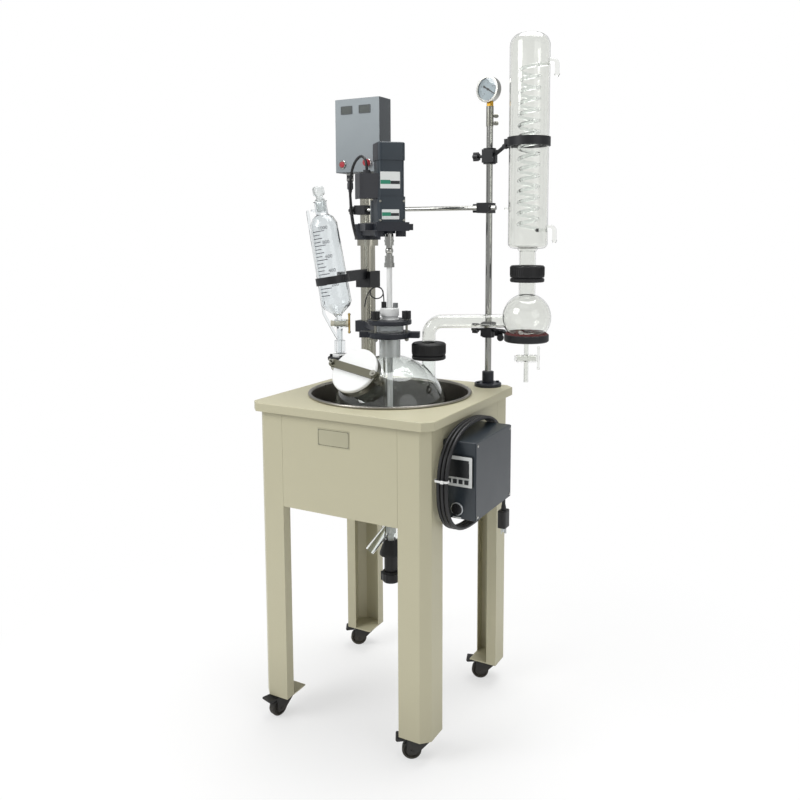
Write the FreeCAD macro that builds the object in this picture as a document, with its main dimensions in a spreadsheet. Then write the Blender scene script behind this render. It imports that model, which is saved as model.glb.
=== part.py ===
import FreeCAD, Part
import math
import os
import Sketcher
from FreeCAD import Placement, Rotation, Vector

# Glass reactor on a wheeled table: sphere flask in a heating bath, stirrer drive on a column,
# dropping funnel, reflux condenser over a receiver ball, and two electric boxes.
# Millimetres, Z up, origin on the floor under the middle of the table; the bare plate side is -Y.

os.makedirs("parts", exist_ok=True)
doc = FreeCAD.newDocument("glass_reactor")

# Driving sizes, one name each
SIZES = {
    "table": {
        "top_width": 500, "top_depth": 500, "top_level": 817, "top_skirt": 21, "top_corner": 22,
        "sheet": 2, "vessel_back": 10,
        "leg_inset": 13.5, "leg_width": 76, "leg_corner": 20, "leg_lip": 27, "leg_foot": 60,
        "foot_plate": 3, "apron_level": 563, "apron_lip": 16, "seam": 0.5,
    },
    "casters": {
        "wheel_radius": 23, "wheel_width": 18, "caster_trail": 21, "axle_radius": 3,
        "fork_gap": 22, "fork_plate": 4, "swivel_radius": 27, "swivel_thick": 4,
        "pedal_reach": 32, "pedal_thick": 4, "pedal_pin_drop": 9.5, "pedal_pin_radius": 2.2,
        "running": 0.3,
    },
    "bath": {
        "bath_wall_radius": 202, "bath_deep": 229, "bath_corner": 30, "bath_sheet": 1.5,
        "bath_lip_radius": 206.5, "bath_bead": 7, "bath_hole": 19,
        "heater_radius": 125, "heater_tube": 5.5, "heater_lift": 36,
    },
    "flask": {
        "flask_radius": 146, "flask_level": 769, "glass": 3, "neck_radius": 27,
        "flange_radius": 35.5, "flange_thick": 11, "flange_level": 970,
        "side_neck_radius": 17.5, "reflux_reach": 100, "reflux_angle": 30, "reflux_neck_top": 920,
        "feed_turn": -2, "feed_rise": 39, "feed_neck_radius": 45, "feed_flange_radius": 56,
        "feed_flange_far": 200, "feed_flange_thick": 9, "cover_thick": 10, "stud_reach": 67,
        "strap_width": 20, "strap_thick": 4, "strap_lift": 0.3, "nut_radius": 8, "nut_grooves": 12,
        "port_reach": 137, "port_turn": -78, "port_level": 906, "port_elbow": 868,
        "outlet_radius": 17, "outlet_end": 426, "drain_tube_radius": 12.5, "drain_reach": 62,
        "drain_turn": -35, "drain_level": 465,
    },
    "rods": {
        "column_across": 190, "column_back": 215, "column_radius": 21, "column_top": 1540,
        "flute_radius": 2.6, "flute_count": 12, "rod_across": 185, "rod_radius": 8.5,
        "rod_top": 1500, "foot_flange_radius": 36, "foot_flange_thick": 9, "foot_hub": 31,
        "tie_radius": 6, "tie_level": 1290, "tie_over": 32,
    },
    "clamps": {
        "clamp_level": 961, "clamp_tall": 15, "clamp_radius": 56, "clamp_ear": 77,
        "plate_level": 995, "plate_thick": 12, "plate_bore": 25.5,
        "stud_ring": 46, "stud_radius": 3, "knob_radius": 12, "knob_tall": 20, "stud_turn": -21,
        "funnel_clamp_level": 1095, "band_level": 1452, "band_tall": 22,
        "band_boss_level": 1424, "ring_boss_level": 969,
    },
    "drive": {
        "drive_turn": 42.8, "motor_size": 66, "motor_corner": 10, "cover_size": 71,
        "gear_level": 1253, "motor_level": 1310, "cover_level": 1405, "drive_top": 1449,
        "terminal_reach": 46, "terminal_deep": 58, "terminal_tall": 60, "gland_radius": 9,
        "joint_radius": 11.2, "joint_top": 1223, "joint_low": 1140, "joint_collar": 13,
        "shaft_radius": 7, "shaft_bottom": 652, "blade_half": 48, "blade_tall": 46,
        "blade_thick": 7, "seal_radius": 24, "seal_top": 1037,
    },
    "glass line": {
        "bend_radius": 35, "bend_level": 1001, "ball_radius": 62, "ball_level": 1010,
        "ball_along": 251, "ball_neck_radius": 21, "ball_neck_top": 1122,
        "coupling_radius": 43.5, "nut_tall": 30, "ring_tall": 10, "coupling_gap": 2,
        "lower_coupling": 904.5, "upper_coupling": 1101,
        "condenser_radius": 50, "condenser_bottom": 1186, "condenser_top": 1714,
        "coil_radius": 24, "coil_tube": 4.5, "coil_pitch": 27, "coil_turns": 15,
        "coil_start": 1232, "spout_radius": 5.5, "upper_spout": 1650, "lower_spout": 1240,
        "tap_level": 904, "tap_turn": 118, "ball_drain_radius": 6,
        "ball_drain_end": 842,
    },
    "funnel": {
        "funnel_tilt": 9, "cock_above": 87, "funnel_radius": 40, "funnel_shoulder": 35,
        "funnel_long": 284, "funnel_neck": 16, "funnel_neck_long": 34, "stem_radius": 8,
        "arm_tube": 4, "port_ring_radius": 32,
    },
    "boxes": {
        "control_width": 142, "control_deep": 60, "control_level": 1391, "control_tall": 197,
        "control_across": -169, "control_front": 132,
        "bath_box_deep": 82, "bath_box_long": 208, "bath_box_tall": 180, "bath_box_level": 581,
        "bath_box_front": -160, "bezel": 70, "bezel_thick": 7, "bezel_level": 694,
        "dial_level": 604, "dial_radius": 13,
    },
    "gauge": {
        "gauge_radius": 32, "gauge_deep": 21, "gauge_level": 1593, "gauge_turn": -12,
        "gauge_stem_back": 6, "manifold_radius": 9.5, "hex_radius": 7.5, "needle_turn": 122,
    },
    "cords": {
        "motor_cord": 7, "power_cord": 9, "probe_cord": 3, "plug_radius": 8.5,
        "cord_turns": 3, "cord_loop_side": 56, "cord_loop_over": 36, "plug_body": 44,
        "plug_wide": 34, "plug_thick": 22, "pin_long": 17,
    },
}
sheet = doc.addObject("Spreadsheet::Sheet", "dims")
row = 1
for family, values in SIZES.items():
    sheet.set(f"A{row}", family)
    row += 1
    for alias, value in values.items():
        sheet.set(f"A{row}", alias)
        sheet.set(f"B{row}", str(value))
        sheet.setAlias(f"B{row}", alias)
        row += 1
doc.recompute()


# Sheet arithmetic: a size keeps its formula and its value side by side
class Size:
    def __init__(self, text, value):
        self.text = text
        self.value = float(value)

    def __add__(self, other):
        other = size(other)
        return Size(f"({self.text} + {other.text})", self.value + other.value)

    def __sub__(self, other):
        other = size(other)
        return Size(f"({self.text} - {other.text})", self.value - other.value)

    def __mul__(self, other):
        other = size(other)
        return Size(f"({self.text} * {other.text})", self.value * other.value)

    def __truediv__(self, other):
        other = size(other)
        return Size(f"({self.text} / {other.text})", self.value / other.value)

    def __neg__(self):
        return Size(f"(0 - {self.text})", -self.value)

    def __radd__(self, other):
        return size(other) + self

    def __rsub__(self, other):
        return size(other) - self

    def __rmul__(self, other):
        return size(other) * self


def size(value):
    if isinstance(value, Size):
        return value
    return Size(f"({float(value)!r})", value)


def num(value):
    return value.value if isinstance(value, Size) else float(value)


def cosine(angle):
    return Size(f"cos({angle.text} * 1 deg)", math.cos(math.radians(angle.value)))


def sine(angle):
    return Size(f"sin({angle.text} * 1 deg)", math.sin(math.radians(angle.value)))


class Sheet:
    def __getattr__(self, alias):
        return Size(f"dims.{alias}", sheet.get(alias))


d = Sheet()
nodes = []
UP = Vector(0, 0, 1)


# Placing and naming
def bind(obj, prop, value):
    if isinstance(value, Size):
        obj.setExpression(prop, value.text)
    setattr(obj, prop, num(value))


def put(obj, at=(0, 0, 0), turn=None):
    obj.Placement = Placement(Vector(*[num(c) for c in at]), turn or Rotation())
    for axis, value in zip("xyz", at):
        if isinstance(value, Size):
            obj.setExpression(f"Placement.Base.{axis}", value.text)
    return obj


def finish(obj, label, at=(0, 0, 0), turn=None):
    obj.Label = label
    put(obj, at, turn)
    nodes.append(obj)
    return obj


def spin(degrees):
    return Rotation(UP, num(degrees))


def aim(direction):
    return Rotation(UP, Vector(*[num(c) for c in direction]))


def heading(turn):
    # level direction, counted from the front (-Y) towards +X
    return (sine(turn), -cosine(turn), size(0))


def along(start, direction, distance):
    return tuple(size(s) + size(c) * distance for s, c in zip(start, direction))


# Part solids
def cylinder(radius, height, at=(0, 0, 0), turn=None):
    obj = doc.addObject("Part::Cylinder", "cylinder")
    bind(obj, "Radius", radius)
    bind(obj, "Height", height)
    return put(obj, at, turn)


def cone(low, high, height, at=(0, 0, 0), turn=None):
    obj = doc.addObject("Part::Cone", "cone")
    bind(obj, "Radius1", low)
    bind(obj, "Radius2", high)
    bind(obj, "Height", height)
    return put(obj, at, turn)


def sphere(radius, at=(0, 0, 0)):
    obj = doc.addObject("Part::Sphere", "sphere")
    bind(obj, "Radius", radius)
    return put(obj, at)


def torus(ring, tube, sweep=360, at=(0, 0, 0), turn=None):
    obj = doc.addObject("Part::Torus", "torus")
    bind(obj, "Radius1", ring)
    bind(obj, "Radius2", tube)
    bind(obj, "Angle3", sweep)
    return put(obj, at, turn)


def bend(ring, tube, start, first, last):
    # quarter bend that leaves start along first and ends along last
    radial = Vector(*[-num(c) for c in last])
    ahead = Vector(*[num(c) for c in first])
    turn = Rotation(radial, ahead, radial.cross(ahead), "XYZ")
    return torus(ring, tube, 90, along(start, last, ring), turn)


def block(width, deep, tall, at=(0, 0, 0), turn=None):
    # centred on X and Y, standing on its level
    obj = doc.addObject("Part::Box", "block")
    bind(obj, "Length", width)
    bind(obj, "Width", deep)
    bind(obj, "Height", tall)
    turn = turn or Rotation()
    shift = turn.multVec(Vector(-num(width) / 2, -num(deep) / 2, 0))
    return put(obj, tuple(size(c) + s for c, s in zip(at, shift)), turn)


def prism(sides, radius, height, at=(0, 0, 0), turn=None):
    obj = doc.addObject("Part::Prism", "prism")
    obj.Polygon = sides
    bind(obj, "Circumradius", radius)
    bind(obj, "Height", height)
    return put(obj, at, turn)


def join(*parts):
    obj = doc.addObject("Part::MultiFuse", "joined")
    obj.Shapes = list(parts)
    obj.Refine = True
    return obj


def take(base, *tools):
    obj = doc.addObject("Part::Cut", "cut")
    obj.Base = base
    obj.Tool = tools[0] if len(tools) == 1 else join(*tools)
    obj.Refine = True
    return obj


def group(*parts):
    obj = doc.addObject("Part::Compound", "grouped")
    obj.Links = list(parts)
    return obj


# Sketched bodies
def new_body(name="body"):
    return doc.addObject("PartDesign::Body", name)


def plane(body, role):
    return next(o for o in body.Origin.OriginFeatures if o.Role == role + "_Plane")


def new_sketch(body, role, lift):
    sketch = body.newObject("Sketcher::SketchObject", "profile")
    sketch.AttachmentSupport = (plane(body, role), [""])
    sketch.MapMode = "FlatFace"
    sketch.AttachmentOffset = Placement(Vector(0, 0, num(lift)), Rotation())
    if isinstance(lift, Size):
        sketch.setExpression("AttachmentOffset.Base.z", lift.text)
    return sketch


def fix(sketch, kind, geometry, point, value, name):
    if not isinstance(value, Size) and value == 0:
        axis = -2 if kind == "DistanceX" else -1
        sketch.addConstraint(Sketcher.Constraint("PointOnObject", geometry, point, axis))
        return
    number = sketch.addConstraint(Sketcher.Constraint(kind, -1, 1, geometry, point, num(value)))
    if isinstance(value, Size):
        sketch.renameConstraint(number, name)
        sketch.setExpression(f"Constraints.{name}", value.text)


def arc_between(start, end, radius):
    # quarter-like arc: positive radius runs anticlockwise from start to end
    middle = (start + end) * 0.5
    chord = end - start
    rise = math.sqrt(max(abs(radius) ** 2 - (chord.Length / 2) ** 2, 0))
    side = Vector(-chord.y, chord.x, 0).normalize() * rise
    centre = middle + side if radius > 0 else middle - side
    first, last = (start, end) if radius > 0 else (end, start)
    low = math.atan2(first.y - centre.y, first.x - centre.x)
    high = math.atan2(last.y - centre.y, last.x - centre.x)
    return Part.ArcOfCircle(Part.Circle(centre, UP, abs(radius)), low, high)


def outline(body, role, corners, lift=0):
    # closed loop of corners; a third value makes the side that arrives there an arc
    sketch = new_sketch(body, role, lift)
    points = [Vector(num(c[0]), num(c[1]), 0) for c in corners]
    ends = []
    for i, corner in enumerate(corners):
        start, end = points[i - 1], points[i]
        if len(corner) == 3:
            sketch.addGeometry(arc_between(start, end, num(corner[2])), False)
            ends.append((1, 2) if num(corner[2]) > 0 else (2, 1))
        else:
            sketch.addGeometry(Part.LineSegment(start, end), False)
            ends.append((1, 2))
    count = len(corners)
    for i in range(count):
        after = (i + 1) % count
        joint = Sketcher.Constraint("Coincident", i, ends[i][1], after, ends[after][0])
        sketch.addConstraint(joint)
    for i, corner in enumerate(corners):
        fix(sketch, "DistanceX", i, ends[i][1], corner[0], f"across{i}")
        fix(sketch, "DistanceY", i, ends[i][1], corner[1], f"level{i}")
        if len(corner) == 3:
            reach = corner[2] if num(corner[2]) > 0 else -size(corner[2])
            number = sketch.addConstraint(Sketcher.Constraint("Radius", i, num(reach)))
            if isinstance(reach, Size):
                sketch.renameConstraint(number, f"round{i}")
                sketch.setExpression(f"Constraints.round{i}", reach.text)
    return sketch


def circle(body, role, radius, x=0, y=0, lift=0):
    sketch = new_sketch(body, role, lift)
    spot = Part.Circle(Vector(num(x), num(y), 0), UP, num(radius))
    sketch.addGeometry(spot, False)
    fix(sketch, "DistanceX", 0, 3, x, "across")
    fix(sketch, "DistanceY", 0, 3, y, "level")
    number = sketch.addConstraint(Sketcher.Constraint("Radius", 0, num(radius)))
    if isinstance(radius, Size):
        sketch.renameConstraint(number, "round")
        sketch.setExpression("Constraints.round", radius.text)
    return sketch


def feature(body, kind, sketch, length, both=False, reverse=False):
    obj = body.newObject(f"PartDesign::{kind}", kind.lower())
    obj.Profile = sketch
    bind(obj, "Length", length)
    obj.SideType = "Symmetric" if both else "One side"
    obj.Reversed = reverse
    return obj


def pad(body, sketch, length, both=False, reverse=False):
    return feature(body, "Pad", sketch, length, both, reverse)


def pocket(body, sketch, length, both=False, reverse=False):
    return feature(body, "Pocket", sketch, length, both, reverse)


def revolve(body, sketch, kind="Revolution"):
    obj = body.newObject(f"PartDesign::{kind}", kind.lower())
    obj.Profile = sketch
    obj.ReferenceAxis = (sketch, ["V_Axis"])
    obj.Angle = 360
    return obj


def turned(corners, name="turned"):
    body = new_body(name)
    revolve(body, outline(body, "XZ", corners))
    return body


def around(body, item, count):
    body.Tip = item
    pattern = body.newObject("PartDesign::PolarPattern", "around")
    pattern.Originals = [item]
    axis = next(o for o in body.Origin.OriginFeatures if o.Role == "Z_Axis")
    pattern.Axis = (axis, [""])
    pattern.Angle = 360
    pattern.setExpression("Occurrences", count.text)
    pattern.Occurrences = int(num(count))
    body.Tip = pattern
    return pattern


def soften(body, base, radius, wanted):
    doc.recompute()
    names = [f"Edge{i + 1}" for i, edge in enumerate(base.Shape.Edges) if wanted(edge)]
    fillet = body.newObject("PartDesign::Fillet", "fillet")
    fillet.Base = (base, names)
    bind(fillet, "Radius", radius)
    body.Tip = fillet
    return fillet


def cropped(half_x, half_y, crop):
    return [
        (half_x - crop, -half_y), (half_x, -half_y + crop), (half_x, half_y - crop),
        (half_x - crop, half_y), (-half_x + crop, half_y), (-half_x, half_y - crop),
        (-half_x, -half_y + crop), (-half_x + crop, -half_y),
    ]


def rounded(half_x, half_y, bend):
    half_x, half_y, bend = size(half_x), size(half_y), size(bend)
    return [
        (half_x - bend, -half_y), (half_x, -half_y + bend, bend), (half_x, half_y - bend),
        (half_x - bend, half_y, bend), (-half_x + bend, half_y), (-half_x, half_y - bend, bend),
        (-half_x, -half_y + bend), (-half_x + bend, -half_y, bend),
    ]


def route(points, name="route"):
    # straight runs joined by tangent arcs
    runs = [(b - a) for a, b in zip(points, points[1:])]
    edges = []
    start = points[0]
    for i in range(1, len(points) - 1):
        before, after = runs[i - 1], runs[i]
        half = before.getAngle(after) / 2
        back = 0.45 * min(before.Length, after.Length)
        radius = back / math.tan(half)
        enter = points[i] - Vector(before).normalize() * back
        leave = points[i] + Vector(after).normalize() * back
        inward = (Vector(after).normalize() - Vector(before).normalize()).normalize()
        centre = points[i] + inward * (radius / math.cos(half))
        middle = centre - inward * radius
        edges.append(Part.LineSegment(start, enter).toShape())
        edges.append(Part.Arc(enter, middle, leave).toShape())
        start = leave
        print(f"{name} bend {i}: radius {radius:.1f}")
    edges.append(Part.LineSegment(start, points[-1]).toShape())
    return Part.Wire(edges)


def cord(points, diameter, name):
    wire = route(points, name)
    first = (points[1] - points[0]).normalize()
    ring = Part.Wire([Part.Circle(points[0], first, num(diameter) / 2).toShape()])
    shape = wire.makePipeShell([ring], True, False)
    expected = math.pi * num(diameter) ** 2 / 4 * wire.Length
    print(f"{name}: length {wire.Length:.1f}, volume ratio {shape.Volume / expected:.4f}")
    obj = doc.addObject("Part::Feature", "cord")
    obj.Shape = shape
    return obj


# Shared places
vessel = (size(0), d.vessel_back)
column = (-d.column_across, d.column_back)
rod = (d.rod_across, d.column_back)
leg_x = d.top_width / 2 - d.leg_inset
leg_y = d.top_depth / 2 - d.leg_inset
reflux = (cosine(d.reflux_angle), sine(d.reflux_angle), size(0))
reflux_neck = (vessel[0] + reflux[0] * d.reflux_reach, vessel[1] + reflux[1] * d.reflux_reach)
ball = (reflux_neck[0] + reflux[0] * d.ball_along, reflux_neck[1] + reflux[1] * d.ball_along)
port = along((vessel[0], vessel[1], size(0)), heading(d.port_turn), d.port_reach)[:2]
inner_level = d.top_level - d.sheet


# Table
def table_top():
    body = new_body()
    half_x, half_y = d.top_width / 2, d.top_depth / 2
    slab = pad(body, outline(body, "XY", cropped(half_x, half_y, d.top_corner)), d.top_skirt)
    crop = d.top_corner - d.sheet * (2 - math.sqrt(2))
    inside = cropped(half_x - d.sheet, half_y - d.sheet, crop)
    pocket(body, outline(body, "XY", inside), d.top_skirt - d.sheet, reverse=True)
    hole = circle(body, "XY", d.bath_wall_radius + 1, 0, d.vessel_back)
    cut = pocket(body, hole, d.top_skirt, reverse=True)
    top = d.top_skirt.value

    def top_rim(edge):
        box = edge.BoundBox
        return box.ZMin > top - 0.1 and len(edge.Vertexes) == 2 and box.DiagonalLength > 20

    soften(body, cut, 2.5, lambda e: top_rim(e) and isinstance(e.Curve, Part.Line))
    finish(body, "table_top", (0, 0, d.top_level - d.top_skirt))


def one_leg(quarter):
    body = new_body()
    w, lip, crop, t = d.leg_width, d.leg_lip, d.leg_corner, d.sheet
    inner = crop + t * (math.sqrt(2) - 1)
    section = [
        (-w, -lip), (-w, 0), (-crop, 0), (0, -crop), (0, -w), (-lip, -w),
        (-lip, t - w), (-t, t - w), (-t, -inner), (-inner, -t), (t - w, -t), (t - w, -lip),
    ]
    foot = [(-w, -w), (0, -w), (0, -crop), (-crop, 0), (-w, 0)]
    pad(body, outline(body, "XY", foot), d.foot_plate)
    pad(body, outline(body, "XY", section), inner_level - d.leg_foot)
    x = leg_x if quarter in (0, 3) else -leg_x
    y = leg_y if quarter in (0, 1) else -leg_y
    return put(body, (x, y, d.leg_foot), spin(90 * quarter))


def one_apron(quarter):
    body = new_body()
    reach = leg_x if quarter % 2 else leg_y
    span = leg_y if quarter % 2 else leg_x
    t = d.sheet
    section = [
        (-reach, 0), (d.apron_lip - reach, 0), (d.apron_lip - reach, t),
        (t - reach, t), (t - reach, inner_level - d.apron_level),
        (-reach, inner_level - d.apron_level),
    ]
    pad(body, outline(body, "YZ", section), (span - d.leg_width - d.seam) * 2, both=True)
    return put(body, (0, 0, d.apron_level), spin(90 * quarter))


# Casters: swivel fork, wheel and foot pedal, the trail turned as the wheels stand
CASTERS = {"front_left": -15, "front_right": -61, "back_right": -70, "back_left": -60}


def caster(corner, turn):
    x = (leg_x - d.leg_width / 2) * (1 if "right" in corner else -1)
    y = (leg_y - d.leg_width / 2) * (1 if "back" in corner else -1)
    trail = d.caster_trail
    drop = d.leg_foot - d.wheel_radius
    fork = new_body()
    pad(fork, circle(fork, "XY", d.swivel_radius), d.swivel_thick, reverse=True)
    thick = d.swivel_thick
    side = [
        (26, -thick), (25, -thick - 5), (10 - trail, -drop - 8),
        (-trail - 8, -drop - 8), (-trail - 12, -drop),
        (-trail - 11, -thick - 6), (-trail - 8, -thick),
    ]
    pad(fork, outline(fork, "YZ", side), d.fork_gap + d.fork_plate * 2, both=True)
    slot = [(60, -thick - 1), (60, -90), (-90, -90), (-90, -thick - 1)]
    pocket(fork, outline(fork, "YZ", slot), d.fork_gap, both=True)
    axle_span = d.fork_gap + d.fork_plate * 2 + 3
    pad(fork, circle(fork, "YZ", d.axle_radius, -trail, -drop), axle_span, both=True)
    pin_back = -trail - 6
    pin = circle(fork, "YZ", d.pedal_pin_radius, pin_back, -d.pedal_pin_drop)
    pad(fork, pin, d.fork_gap + d.fork_plate, both=True)
    finish(fork, f"caster_fork_{corner}", (x, y, d.leg_foot), spin(turn))

    bore, rim, half = d.axle_radius + d.running, d.wheel_radius, d.wheel_width / 2
    wheel = turned([
        (bore, -half + 1), (rim * 0.45, -half + 1), (rim * 0.5, -half + 4), (rim * 0.72, -half + 4),
        (rim * 0.76, -half), (rim - 3, -half), (rim, -half + 3, 3), (rim, half - 3),
        (rim - 3, half, 3), (rim * 0.76, half), (rim * 0.72, half - 4), (rim * 0.5, half - 4),
        (rim * 0.45, half - 1), (bore, half - 1),
    ])
    centre = spin(turn).multVec(Vector(0, -num(trail), 0))
    lie = spin(turn).multiply(Rotation(Vector(0, 1, 0), 90))
    finish(wheel, f"caster_wheel_{corner}", (x + centre.x, y + centre.y, d.wheel_radius), lie)

    pedal = new_body()
    boss = d.pedal_pin_radius + d.running + 1.2
    pad(pedal, circle(pedal, "YZ", boss), d.fork_gap - 2, both=True)
    root = [(0, 0), (0, d.pedal_thick), (-9, d.pedal_thick), (-9, 0)]
    pad(pedal, outline(pedal, "YZ", root), d.fork_gap - 2, both=True)
    wing = [
        (-8, 0), (-d.pedal_reach + 3, -2), (-d.pedal_reach, 2),
        (-d.pedal_reach + 2, d.pedal_thick + 1), (-8, d.pedal_thick),
    ]
    pad(pedal, outline(pedal, "YZ", wing), d.fork_gap + d.fork_plate * 2 + 2, both=True)
    hole = circle(pedal, "YZ", d.pedal_pin_radius + d.running)
    pocket(pedal, hole, d.fork_gap + 20, both=True)
    pin_at = spin(turn).multVec(Vector(0, num(pin_back), 0))
    at = (x + pin_at.x, y + pin_at.y, d.leg_foot - d.pedal_pin_drop)
    finish(pedal, f"caster_pedal_{corner}", at, spin(turn))


table_top()
finish(group(*[one_leg(q) for q in range(4)]), "table_legs")
finish(group(*[one_apron(q) for q in range(4)]), "apron_panels")
for corner, turn in CASTERS.items():
    caster(corner, turn)


# Heating bath
def bath_pan():
    wall, deep, bend, thin = d.bath_wall_radius, d.bath_deep, d.bath_corner, d.bath_sheet
    lip, bead = d.bath_lip_radius, d.bath_bead
    inner = wall - thin
    half = bead / 2
    body = turned([
        (d.bath_hole, -deep), (wall - bend, -deep), (wall, bend - deep, bend), (wall, 0), (lip, 0),
        (lip + half, half, half), (lip, bead, half), (inner, bead - (lip - inner), lip - inner),
        (inner, bend - deep), (wall - bend, thin - deep, thin - bend), (d.bath_hole, thin - deep),
    ])
    finish(body, "bath_pan", (vessel[0], vessel[1], d.top_level))


def heating_ring():
    tube, ring = d.heater_tube, d.heater_radius
    level = d.top_level - d.bath_deep + d.bath_sheet
    parts = [torus(ring, tube, at=(0, 0, d.heater_lift))]
    for k in range(3):
        foot = heading(size(30 + 120 * k))
        parts.append(cylinder(3, d.heater_lift, (foot[0] * ring, foot[1] * ring, 0)))
    reach = d.bath_wall_radius - d.bath_sheet - ring
    level_turn = aim((1, 0, 0))
    for side in (-10, 10):
        parts.append(cylinder(tube, reach - 0.5, (ring, side, d.heater_lift), level_turn))
    finish(join(*parts), "heating_ring", (vessel[0], vessel[1], level))


# Column, rod and what stands on the table
def main_column():
    body = new_body()
    foot = d.top_level + d.foot_flange_thick
    long = d.column_top - foot
    pad(body, circle(body, "XY", d.column_radius), long)
    flute = circle(body, "XY", d.flute_radius, d.column_radius + d.flute_radius * 0.3, 0)
    around(body, pocket(body, flute, long, reverse=True), d.flute_count)
    finish(body, "main_column", (column[0], column[1], foot))


def support_rod():
    foot = d.top_level + d.foot_flange_thick
    tall = d.rod_top - foot
    finish(cylinder(d.rod_radius, tall), "support_rod", (rod[0], rod[1], foot))


def flange_foot(hub, bore):
    wide, thick, tall = d.foot_flange_radius, d.foot_flange_thick, d.foot_flange_thick + d.foot_hub
    body = turned([
        (0, 0), (wide, 0), (wide, thick - 2), (wide - 2, thick, 2), (hub, thick),
        (hub, tall - 2), (hub - 2, tall, 2), (bore, tall), (bore, thick), (0, thick),
    ])
    screw_turn = 45
    screws = []
    for k in range(4):
        spot = heading(size(screw_turn + 90 * k))
        ring = wide - 8
        screws.append(prism(6, 4.5, 3.5, (spot[0] * ring, spot[1] * ring, thick)))
    return join(body, *screws)


def star_knob(radius, tall, stem, reach, at, turn):
    # lobed hand knob on a stem that points down its own axis
    lobes = [cylinder(radius * 0.72, tall)]
    for k in range(5):
        spot = heading(size(72 * k))
        lobes.append(cylinder(radius * 0.36, tall, along((0, 0, 0), spot, radius * 0.64)))
    lobes.append(cylinder(stem, reach, (0, 0, -reach)))
    return put(join(*lobes), at, turn)


def rod_fittings():
    parts = []
    parts.append(put(flange_foot(d.column_radius + 6, d.column_radius + d.running), (*column, d.top_level)))
    parts.append(put(flange_foot(d.rod_radius + 7, d.rod_radius + d.running), (*rod, d.top_level)))
    # tie rod clamps
    gap = column[1] - tie_back
    for post, radius in ((column, d.column_radius), (rod, d.rod_radius)):
        tall = size(26)
        body = join(
            cylinder(radius + 8, tall),
            block(34, gap + 13, tall, (0, -(gap + 13) / 2, 0)),
        )
        cut = take(
            body,
            cylinder(radius, tall + 2, (0, 0, -1)),
            cylinder(d.tie_radius, 60, (-30, -gap, tall / 2), aim((1, 0, 0))),
        )
        knob = star_knob(d.knob_radius, 14, 4, 16, (-radius - 22, 0, tall / 2), aim((-1, 0, 0)))
        parts.append(put(join(cut, knob), (post[0], post[1], d.tie_level - tall / 2)))
    # collar under the drive arm
    ring = take(
        cylinder(d.column_radius + 9, 17),
        cylinder(d.column_radius, 19, (0, 0, -1)),
    )
    parts.append(put(ring, (column[0], column[1], arm_level - 17)))
    # tie rod through both clamp heads
    long = d.column_across + d.rod_across + d.tie_over + 10
    parts.append(cylinder(d.tie_radius, long, (-d.column_across - 10, tie_back, d.tie_level),
                          aim((1, 0, 0))))
    finish(group(*parts), "rod_fittings")


tie_back = column[1] - d.column_radius - d.tie_radius - 4
arm_level = d.gear_level - 46


# Flask
def flask_direction(turn, rise):
    level = heading(turn)
    return (level[0] * cosine(rise), level[1] * cosine(rise), sine(rise))


feed_axis = flask_direction(d.feed_turn, d.feed_rise)
port_axis = heading(d.port_turn)
drain_level_axis = heading(d.drain_turn)
drain_axis = (drain_level_axis[0] * 0.7071, drain_level_axis[1] * 0.7071, size(-0.7071))


def flask_solid(shrink):
    # the flask with every neck, its walls drawn in by shrink
    open_end = 1 if num(shrink) else 0
    centre = (0, 0, d.flask_level)
    port_spot = (port_axis[0] * d.port_reach, port_axis[1] * d.port_reach)
    elbow = (port_spot[0], port_spot[1], d.port_elbow)
    base = (port_axis[0] * 96, port_axis[1] * 96, d.flask_level + 66)
    slant = tuple(e - b for e, b in zip(elbow, base))
    slant_long = math.sqrt(sum(num(c) ** 2 for c in slant))
    neck = (reflux[0] * d.reflux_reach, reflux[1] * d.reflux_reach, d.flask_level + 60)
    feed_from = along(centre, feed_axis, 100)
    feed_long = d.feed_flange_far - 100 + open_end
    drain_from = (0, 0, d.drain_level)
    port_r = d.side_neck_radius - 1 - shrink
    parts = [
        sphere(d.flask_radius - shrink, centre),
        cylinder(d.neck_radius - shrink, d.flange_level + d.flange_thick - d.flask_level - 120
                 + open_end, (0, 0, d.flask_level + 120)),
        cylinder(d.side_neck_radius - shrink, d.reflux_neck_top - d.flask_level - 60 + open_end,
                 neck),
        cylinder(d.feed_neck_radius - shrink, feed_long, feed_from, aim(feed_axis)),
        cylinder(port_r, slant_long, base, aim(slant)),
        sphere(port_r, elbow),
        cylinder(port_r, d.port_level - d.port_elbow + open_end, elbow),
        cylinder(d.outlet_radius - shrink, d.flask_level - 120 - d.outlet_end + open_end,
                 (0, 0, d.outlet_end - open_end)),
        cylinder(d.drain_tube_radius - shrink, d.drain_reach * 1.4142 + open_end, drain_from,
                 aim(drain_axis)),
    ]
    return parts


def reactor_flask():
    flange = cylinder(d.flange_radius, d.flange_thick, (0, 0, d.flange_level))
    feed_low = along((0, 0, d.flask_level), feed_axis, d.feed_flange_far - d.feed_flange_thick)
    feed_flange = cylinder(d.feed_flange_radius, d.feed_flange_thick, feed_low, aim(feed_axis))
    outer = join(*flask_solid(size(0)), flange, feed_flange)
    glass = take(outer, *flask_solid(d.glass))
    finish(glass, "reactor_flask", (vessel[0], vessel[1], 0))


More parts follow.
